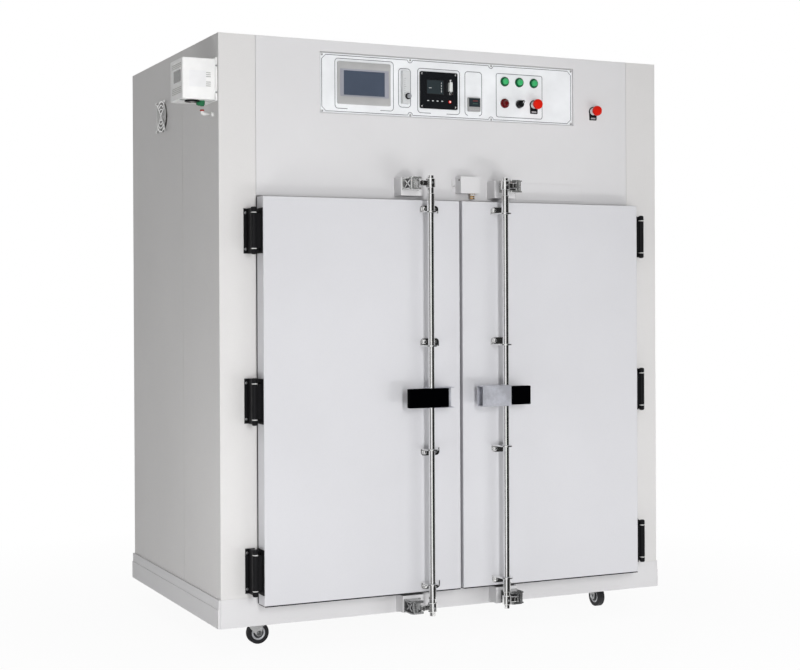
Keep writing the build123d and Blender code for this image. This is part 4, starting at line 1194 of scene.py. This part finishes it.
def channel(x0, x1, depth):
    """A U of sheet from x0 to x1: a web at y = 0 and two flanges towards -y. Outer
    path forward, inner path back, closed by quads at both ends."""
    inner = bent_path(depth, SHEET, max(BEND_R - SHEET, 0.4))[::-1]
    section = np.array(bent_path(depth, 0, BEND_R) + inner)
    rings = []
    for x, pull in ((x0, 0.003), (x0 + 0.3, 0), (x1 - 0.3, 0), (x1, 0.003)):
        q = section + (section.mean(0) - section) * pull
        rings.append(np.column_stack([np.full(len(q), x), q]))
    v, f = loft(rings, caps=False)
    n = len(section)
    for base in (0, 3 * n):
        f += [[base + i, base + i + 1, base + n - 2 - i, base + n - 1 - i] for i in range(n // 2 - 1)]
    return v, f


def handle_channels():
    s = moved(channel(ROD_X - 20, ROD_X + 85, 30), 0, ROD_Y + 22, HANDLE_Z)
    piece = put_mesh("left_channel", s, "mottled_zinc", "left_lock")
    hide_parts("left_lock_rod")
    rod = WIDE - ROD_X
    s = moved(scaled(channel(rod - 104, rod + 10, 44), 1, -1, 1), 0, ROD_Y - 22, HANDLE_Z)
    front = put_mesh("right_channel", s, "mottled_zinc", "right_lock")
    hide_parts("right_lock_rod")
    back = moved(pillow(113.4, 66.6, 3.0, 1.0, 0.6), rod - 47, ROD_Y + 22, HANDLE_Z)
    put_mesh("right_channel_back", back, "mottled_zinc", "right_lock")
    print("channels at", round(ROD_X), round(rod), "height", round(HANDLE_Z))


handle_channels()

# %% [markdown]
# The grips are moulded in black with well rounded long edges. The left one
# covers most of its channel, the right one starts where the channel ends.

# %% Grips
def grip(side):
    cx, cz, w, h = front_view(side + "_grip")
    low, high = node_mm(side + "_grip")
    s = moved(pillow(w, h, high[1] - low[1], 3.0, 4.0), cx, high[1], cz)
    piece = put_mesh(side + "_grip_shell", s, "black_grip", side + "_lock")
    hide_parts(side + "_grip")
    print(side, "grip", round(w), round(h))


for side in SIDES:
    grip(side)

# %% [markdown]
# Each guide is a small pressed angle with two ears, held to the door by a domed
# bolt on a washer and a flat screw: above the shelf on the upper guides, below it
# on the lower ones. The angle stays as its solid.

# %% Guide bolts
GUIDE_HOLE, GUIDE_REACH = 11.6, 180.5


def domed_bolt(r, h):
    """A washer with a rounded rim and a dome on it: the dome's radius falls from r
    as the cosine of an angle while its height grows as the sine. Along -Y."""
    a = np.linspace(0, np.pi / 2, 8)
    washer = [(0, 0), (1.28 * r, 0), (1.32 * r, 0.6), (1.24 * r, 1.3), (r, 1.4)]
    dome = [(r * np.cos(x), 1.4 + 0.22 * h + 0.78 * h * np.sin(x)) for x in a[:-1]]
    return to_front(washer + dome + [(0, 1.4 + h)], 24)


def guide_bolts(side):
    mid = node_mm(side + "_rod_guides")[1][0] - 36.0
    door = side + "_door_leaf"
    heights = ((GUIDE_Z[1], 1), (HANDLE_Z + GUIDE_REACH, 1), (HANDLE_Z - GUIDE_REACH, -1), (GUIDE_Z[0], -1))
    for name, shape, dx, finish in (("_guide_bolts", domed_bolt(8.4, 8.0), -23, "bright_chrome"),
                                    ("_guide_screws", pan_head(5.0, 1.6), 23, "zinc_plate")):
        places = [(mid + dx, GUIDE_HIGH[1] - 4.0, z + 12.6 * up) for z, up in heights]
        fasteners(side + name, shape, places, finish, door)
    rows = [(GUIDE_HOLE, -2.6), (14.5, -2.6), (15, -2.1), (15, 2.1), (14.5, 2.6), (GUIDE_HOLE, 2.6)]
    spots = [(ROD_X, ROD_Y, z) for z, _ in heights]
    fasteners(side + "_guide_rings", turned(rows, "z", 36, hollow=True), spots, "zinc_plate", door, side=side)
    print(side, "guide bolts", len(heights), "flange middle", round(mid))


for side in SIDES:
    guide_bolts(side)

# %% [markdown]
# ## Keepers
# The keeper is a casting bolted to a painted spacer block. Its solid has the
# plate and the two jaws. The upright lugs between the jaws, the slanting ribs
# at its side and the bolts are added here, beside the slot, where the cam never
# passes.

# %% Keeper castings
def slanted_bar(y0, z0, y1, z1, x, wide, thick):
    """A flat bar from (y0, z0) to (y1, z1) at x: a rounded rectangle section
    carried along the line between the two points, its ends closed."""
    a, b = np.array([y0, z0], float), np.array([y1, z1], float)
    t = (b - a) / np.linalg.norm(b - a)
    q = outline(wide, thick, min(wide, thick) * 0.35, 4)
    rings = []
    for k in (0, 0.5, 1):
        c = a + (b - a) * k
        rings.append(np.column_stack([x + q[:, 0], c[0] - t[1] * q[:, 1], c[1] + t[0] * q[:, 1]]))
    return loft(rings)


def keeper(side):
    x0 = ROD_X - 77
    cast = [moved(pillow(9.0, 42, 9.0, 3.6, 2.6), 11.5, -111.0, 0),
            moved(pillow(6.5, 36, 7.0, 2.8, 2.2), 22.5, -110.5, 0)]
    cast += [slanted_bar(-66, -s * 15, -111, s * 12, 6.6, 3.0, 6.0) for s in (1, -1)]
    cast += [moved(pillow(6.5, 5.6, 52, 1.5, 1.2), 3.6, -62.5, dz) for dz in (-18.9, 18.9)]
    # Painted shade: a dark wall behind the ribs stands for the shadow in the casting's hollow.
    wall = moved(pillow(2.6, 31, 50.0, 1.0, 0.8), 9.6, -63.5, 0)
    seats = [(x0, 0, z) for z in CAM_Z]
    bolts = [(x0 + 30, -63.0, z + dz) for z in CAM_Z for dz in (-7, 7)]
    for name, shape, places, finish in (
            ("lugs", join(*cast), seats, "cast_chrome"), ("shade_wall", wall, seats, "pocket_dark"),
            ("screws", pan_head(4.2, 2.4), bolts, "zinc_plate")):
        fasteners(side + "_keeper_" + name, shape, places, finish, side=side)
    print(side, "keeper pieces", len(cast))


for side in SIDES:
    keeper(side)

# %% [markdown]
# ## Limit switch box
# A small painted box above the doors with a brass cable gland below, a screw
# on its flange and one on its side. The gland is a hexagon between two turned
# nuts.

# %% Gland and screws
def limit_box():
    low, high = node_mm("limit_switch_box")
    x0, gz = low[0] + 14, low[2]
    rows = [(0, 0), (7.2, 0), (8.7, 1.2), (8.7, 6), (8.0, 6.8), (8.7, 7.6), (8.7, 12.4), (0, 12.5)]
    gland = join(moved(facing(hex_head(9.0, 6.5), "-z"), 0, 0, 20), turned(rows, "z", 28))
    put_mesh("gland", moved(gland, x0 + 57, -22.0, gz), "brass")
    fasteners("box_flange_screw", pan_head(4.2, 2.4), [(x0 - 7, -2.0, gz + 48)], "bright_chrome")
    fasteners("box_side_screw", pan_head(4.0, 1.2), [(x0, -31.0, high[2] - 12)], "black_mould", axis="-x")
    print("limit box", low.round(), high.round())


limit_box()

# %% [markdown]
# ## Hinges
# Strong cast hinges, painted black: a leaf on the stile with a bracket that
# reaches forward, knuckles with a pin beside the door's face, and a leaf on the
# door's edge. Solids carry the shape. The countersunk screws, the pin's caps and
# the two pale thrust washers of each hinge are added here.

# %% Hinge screws
LEAF_LOW, LEAF_HIGH = node_mm("left_hinge_leaves")
PIN_X, PIN_Y = LEAF_LOW[0] + 10.0, -56.0
HINGE_Z = (LEAF_HIGH[2] - 76, (LEAF_HIGH[2] + LEAF_LOW[2]) / 2, LEAF_LOW[2] + 76)
PIN_CAP = [(0, 0), (9.0, 0), (9.2, 1), (7.6, 3), (4, 4), (0, 4.2)]
WASHER = [(5.3, -1.4), (9.2, -1.4), (9.6, -1.0), (9.6, 1.0), (9.2, 1.4), (5.3, 1.4)]


def hinge(side):
    flat = [(PIN_X - 10.6, -4.0, z + dz) for z in HINGE_Z for dz in (-61, 61)]
    fasteners(side + "_leaf_screws", pan_head(4.8, 2.2), flat, "zinc_plate", side=side)
    edge = [(LEAF_LOW[0] + 34, y, z + dz) for z in HINGE_Z for dz in (-62, 62) for y in (-20, -40)]
    fasteners(side + "_edge_screws", pan_head(4.6, 1.8), edge, "black_mould", side + "_door_leaf", "-x", side)
    cap = turned(PIN_CAP, "z", 24)
    caps = [moved(scaled(cap, 1, 1, s), PIN_X, PIN_Y, z + s * 76) for z in HINGE_Z for s in (-1, 1)]
    put_mesh(side + "_pin_caps", at_side(join(*caps), side), "black_mould")
    rings = [(PIN_X, PIN_Y, z + s * 60.5) for z in HINGE_Z for s in (-1, 1)]
    fasteners(side + "_pin_washers", turned(WASHER, "z", 32, hollow=True), rings, "white_part", side=side)
    print(side, "hinges at", [round(z) for z in HINGE_Z])


for side in SIDES:
    hinge(side)

# %% [markdown]
# ## The instrument box on the side
# A white moulded case with vents and a pale label on its front and a framed grey
# window on its outer face, screwed to a thin plate on the cabinet's side.

# %% Instrument box
BOX_LOW, BOX_HIGH = node_mm("instrument_box")
BOX_X, BOX_TOP = BOX_LOW[0] + 1.2, BOX_HIGH[2] - 4
BOX_Y, BOX_Z = 20.0, BOX_TOP - 138
VENT_Z = (1865, 1858.5, 1852, 1834, 1827.5, 1821)
RIDGE_Z = (1897, 1891, 1885, 1817, 1811, 1805, 1799)


def side_slab(w, h, d, corner, edge):
    """A pillow on the cabinet's left side: w along Y, h along Z, d towards -X."""
    return facing(pillow(w, h, d, corner, edge), "-x")


def instrument_box():
    mid = (BOX_Z + BOX_TOP) / 2
    case = moved(side_slab(140, 138, -5 - BOX_X, 3, 1.6), -5, BOX_Y + 70, mid)
    sheet = moved(side_slab(156, 146, 6, 2, 0.8), 0, BOX_Y + 70, mid)
    for name, s in (("instrument_case", case), ("instrument_backplate", sheet)):
        piece = put_mesh(name, s, "box_white")
        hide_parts("instrument_box")
    border = facing(rim((137, 135, 4), (124, 122, 3), 1.1, 0.3, 0.4), "-x")
    for name, shape, places, finish in (
            ("label", printed(58, 55, 0.4, 1.5, 0.15, 5), [(-66, BOX_Y, 1844.15)], "label_white"),
            ("vents", printed(16.5, 2.8, 0.5, 1.2, 0.2, 5), [(-28, BOX_Y, z) for z in VENT_Z], "vent_grey"),
            ("frame", border, [(BOX_X, 90, mid)], "box_white"),
            ("window", side_slab(78, 40, 0.6, 3, 0.2), [(BOX_X, 85, 1856)], "window_grey"),
            ("ridges", side_slab(104, 2.4, 0.9, 1, 0.3), [(BOX_X, 90, z) for z in RIDGE_Z], "box_shade"),
            ("screws", pan_head(3.4, 2.0), [(-3.0, BOX_Y - 7.8, z) for z in (BOX_TOP - 24, BOX_Z + 24)], "zinc_plate")):
        fasteners("instrument_" + name, shape, places, finish)
    print("instrument box", BOX_LOW.round(), BOX_HIGH.round())


instrument_box()

# %% [markdown]
# Below the case hang a small blower, a cable slot and a green push-in fitting,
# whose tube turns into the cabinet's side. All but the slot are turned, and the
# tube is a circle carried along a quarter bend.

# %% Below the box
def below_the_box():
    fan = (-72.0, 62.0, BOX_Z)
    ring = turned([(15, -5.6), (24.4, -5.6), (25, -4.5), (25, 0.5), (15, 0.5)], "z", 40, hollow=True)
    steps = [(0, 0.4), (16, 0.4), (16, -3.6), (13.5, -4.2), (12.5, -3.2), (10, -3.2), (9, -4.2), (0, -4.2)]
    hub = turned([(0, -7.2), (4, -7.0), (6.4, -5.8), (6.4, -4), (0, -4)], "z", 24)
    piece = put_mesh("blower_ring", moved(ring, *fan), "black_mould")
    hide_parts("instrument_box")
    put_mesh("blower_disc", moved(turned(steps, "z", 32), *fan), "rotor_grey")
    put_mesh("blower_hub", moved(hub, *fan), "bright_chrome")
    put_mesh("cable_slot", moved(facing(pillow(34, 9, 0.8, 2.5, 0.3), "-z"), -98, 62, BOX_Z), "black_mould")
    gx, gy, zc = -38.0, 60.0, BOX_Z - 44
    upright = turned([(0, -18.6), (6.8, -18.6), (7.4, -17.6), (7.4, -14.5), (9.6, -13.4), (9.8, -3),
                      (9.2, 0.4), (0, 0.4)], "z", 28)
    v, f = turned([(0, 0), (8.6, 0), (8.8, 2), (8.8, 14), (7, 16), (7, 19), (0, 19)], "y", 28)
    port = (np.stack([-v[:, 1], v[:, 0], v[:, 2] - 9], 1), f)
    piece = put_mesh("push_fitting", moved(join(upright, port), gx, gy, BOX_Z), "fitting_green")
    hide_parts("instrument_box")
    ring = turned([(0, 8), (6.6, 8), (7, 9), (7, 13), (6.4, 14), (0, 14)], "z", 28)
    put_mesh("elbow_ring", moved(ring, gx, gy, zc), "silicone_red")
    bend = [(x, gy, z) for x, z in arc(gx + 7, zc + 7, 7, 180, 270)]
    piece = put_mesh("elbow", tube([(gx, gy, zc + 12), *bend, (-2, gy, zc)], 6.4, 16), "white_part")
    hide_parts("instrument_box")
    bush = turned([(0, 0), (9.5, 0), (9.5, 1.5), (8, 2.2), (8, 6), (7, 7), (0, 7)], "x", 28)
    put_mesh("side_bush", moved(scaled(bush, -1, 1, 1), 0, gy, zc), "white_part")
    print("under the box at height", round(BOX_Z))


below_the_box()

# %% [markdown]
# ## The fan in the left side
# The guard's wires are solids. Behind them turns a small rotor: seven blades,
# each a twisted strip whose pitch falls from the hub to the tip.

# %% Rotor
FAN_LOW, FAN_HIGH = node_mm("fan_guard")
HUB_R, BLADE_R, BLADES = 18.5, 51, 7


def rotor():
    cy, cz = (FAN_LOW[1] + FAN_HIGH[1]) / 2, (FAN_LOW[2] + FAN_HIGH[2]) / 2
    shapes = [turned([(0, 0), (17, 0), (19, 2), (19, 12), (0, 12)], "x", 32)]
    rr, ww = np.meshgrid(np.linspace(HUB_R, BLADE_R, 9), np.linspace(-0.5, 0.5, 6), indexing="ij")
    out = (rr - HUB_R) / (BLADE_R - HUB_R)
    pitch, chord = np.radians(48 - 26 * out), 20 + 7 * out
    sweep = ww * chord * np.cos(pitch) + 4 * np.sin(out * 2)
    deep = 7 + ww * np.minimum(chord * np.sin(pitch), 9.6)
    for k in range(BLADES):
        a = 2 * np.pi * k / BLADES + sweep / rr
        top, low = (np.stack([deep + d, rr * np.cos(a), rr * np.sin(a)], -1) for d in (-0.6, 0.6))
        shapes.append(loft(np.concatenate([top, low[:, ::-1]], 1)))
    put_mesh("fan_rotor", moved(join(*shapes), 2.5, cy, cz), "rotor_grey")
    spots = [(-10.0, cy + a, cz + b) for a in (-52.5, 52.5) for b in (-52.5, 52.5)]
    fasteners("fan_screws", pan_head(5.0, 2.0), spots, "bright_chrome", axis="-x")
    print("fan centre", round(cy), round(cz))


rotor()

# %% [markdown]
# ## Casters
# A pressed fork, a black wheel and an axle bolt. The fork is two legs of thick
# sheet with a bridge and a round head, the wheel's sides carry a dark cap with
# a steel band round it, and the bolt has a hexagon head and a nut.

# %% Caster details
SWIVEL = 32.0
WHEEL_CAP = [(9, 0), (17.6, 0), (17.6, 2.0), (15, 3.0), (11, 3.4), (9, 3.4)]
WHEEL_BAND = [(18, 0), (24.4, 0), (24.4, 2.6), (23, 3.6), (19.6, 3.0), (18, 1.8)]
FORK_HEAD = [(0, 50.5), (21, 50.5), (22, 51.2), (22, 54.0), (21.4, 54.5), (0, 54.5)]
LEG = np.concatenate([[[48, 54.5], [-6, 54.5], [-6, 42], [-27, 38], [-34, 31], [-34, 22]],
                      arc(0, 0, 10.5, 222, 360, 15), [[12, 20], [48, 47]]])


def head_way(place, k):
    """The side of the wheel, along axis k, on which the fork's round head stands."""
    fork_low, fork_high = node_mm("caster_fork_" + place)
    low, high = node_mm("caster_wheel_" + place)
    return np.sign((fork_low + fork_high)[k] - (low + high)[k])


def both_sides(shape):
    return join(shape, scaled(shape, 1, -1, 1))


def caster(place):
    low, high = node_mm("caster_wheel_" + place)
    c, size = (low + high) / 2, high - low
    k = 0 if size[1] < size[0] else 1
    way, half = head_way(place, k), min(size[0], size[1]) / 2
    bolt = join(moved(hex_head(7.2, 4.5), 0, -(half + 6), 0),
                moved(facing(hex_head(6.8, 4.0), "+y"), 0, half + 6, 0))
    v, f = pillow(54, 2 * half + 12, 2.0, 2.0, 0.4)
    bridge = moved((v[:, [0, 2, 1]] * [1, 1, -1], f), 21 * way, 0, 52.5)
    head = moved(turned(FORK_HEAD, "z", 40), SWIVEL * way, 0, 0)
    legs = both_sides(moved(slab(LEG * [way, 1], 3.0, 0.5), 0, -(half + 3), 0))
    cap, band = (both_sides(moved(turned(rows, "y", 40, hollow=True), 0, half - 3.9, 0))
                 for rows in (WHEEL_CAP, WHEEL_BAND))
    for name, shape, finish, body in (
            ("wheel_caps_", cap, "hub_dark", "wheel_"), ("wheel_bands_", band, "hub_steel", "wheel_"),
            ("fork_legs_", join(legs, bridge, head), "fork_zinc", "fork_"),
            ("axle_bolt_", bolt, "zinc_plate", "fork_")):
        v, f = shape
        v = v if k == 0 else v[:, [1, 0, 2]]
        piece = put_mesh(name + place, (v + c, f), finish, body + place)
        if name == "fork_legs_":
            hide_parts("caster_fork_" + place)
    print("caster", place, c.round(), "head towards", int(way), "along", "xy"[k])


for place in CASTERS:
    caster(place)

# %% [markdown]
# ## Rubber lips of the doors, and painted shade in the hinge gap
# A dark line runs along the lower edge of each door and up its back edge. Along
# the bottom it is the rubber lip that sweeps the sill: one flat strip lies under
# the door. Up the back edge it is painted shade: a thin dark strip stands behind
# the door's edge at the hinges for the shadow in the gap between door and frame.

# %% Door lips
def door_lip_and_gap_shade(side):
    low, high = node_mm(side + "_door")
    cx, cz, w, h = front_view(side + "_door")
    under = moved(pillow(w - 2.0, 3.6, 60.0, 0.6, 0.5), cx, low[1] + 61.0, low[2] - 1.6)
    edge = low[0] if side == "left" else high[0]
    # Painted shade: this thin dark strip behind the door's edge stands for the shadow in the gap.
    upright = moved(pillow(3.0, h - 2.0, 3.0, 0.6, 0.4), edge, low[1] + 64.0, cz)
    put_mesh(side + "_door_lip_and_gap_shade", join(under, upright), "black_mould", side + "_door_leaf")
    print("door lip", side, low.round(1), high.round(1))


for side in SIDES:
    door_lip_and_gap_shade(side)

# %% [markdown]
# ## Sheet-metal fixings
# The back panel is held by rows of screws, which the photograph does not show
# but every such cabinet has for service.

# %% Panel screws
def panel_screws(inset=30, count=6):
    low, high = node_mm("back_panel")
    xs, zs = (np.linspace(low[i] + inset, high[i] - inset, count) for i in (0, 2))
    places = [(x, high[1] - 0.01, z) for x in xs for z in (zs[0], zs[-1])]
    places += [(x, high[1] - 0.01, z) for x in (xs[0], xs[-1]) for z in zs[1:-1]]
    fasteners("back_screws", pan_head(5.0, 2.4), places, "zinc_plate", axis="+y")
    print("back panel", low.round(), high.round(), "screws", len(places))


panel_screws()
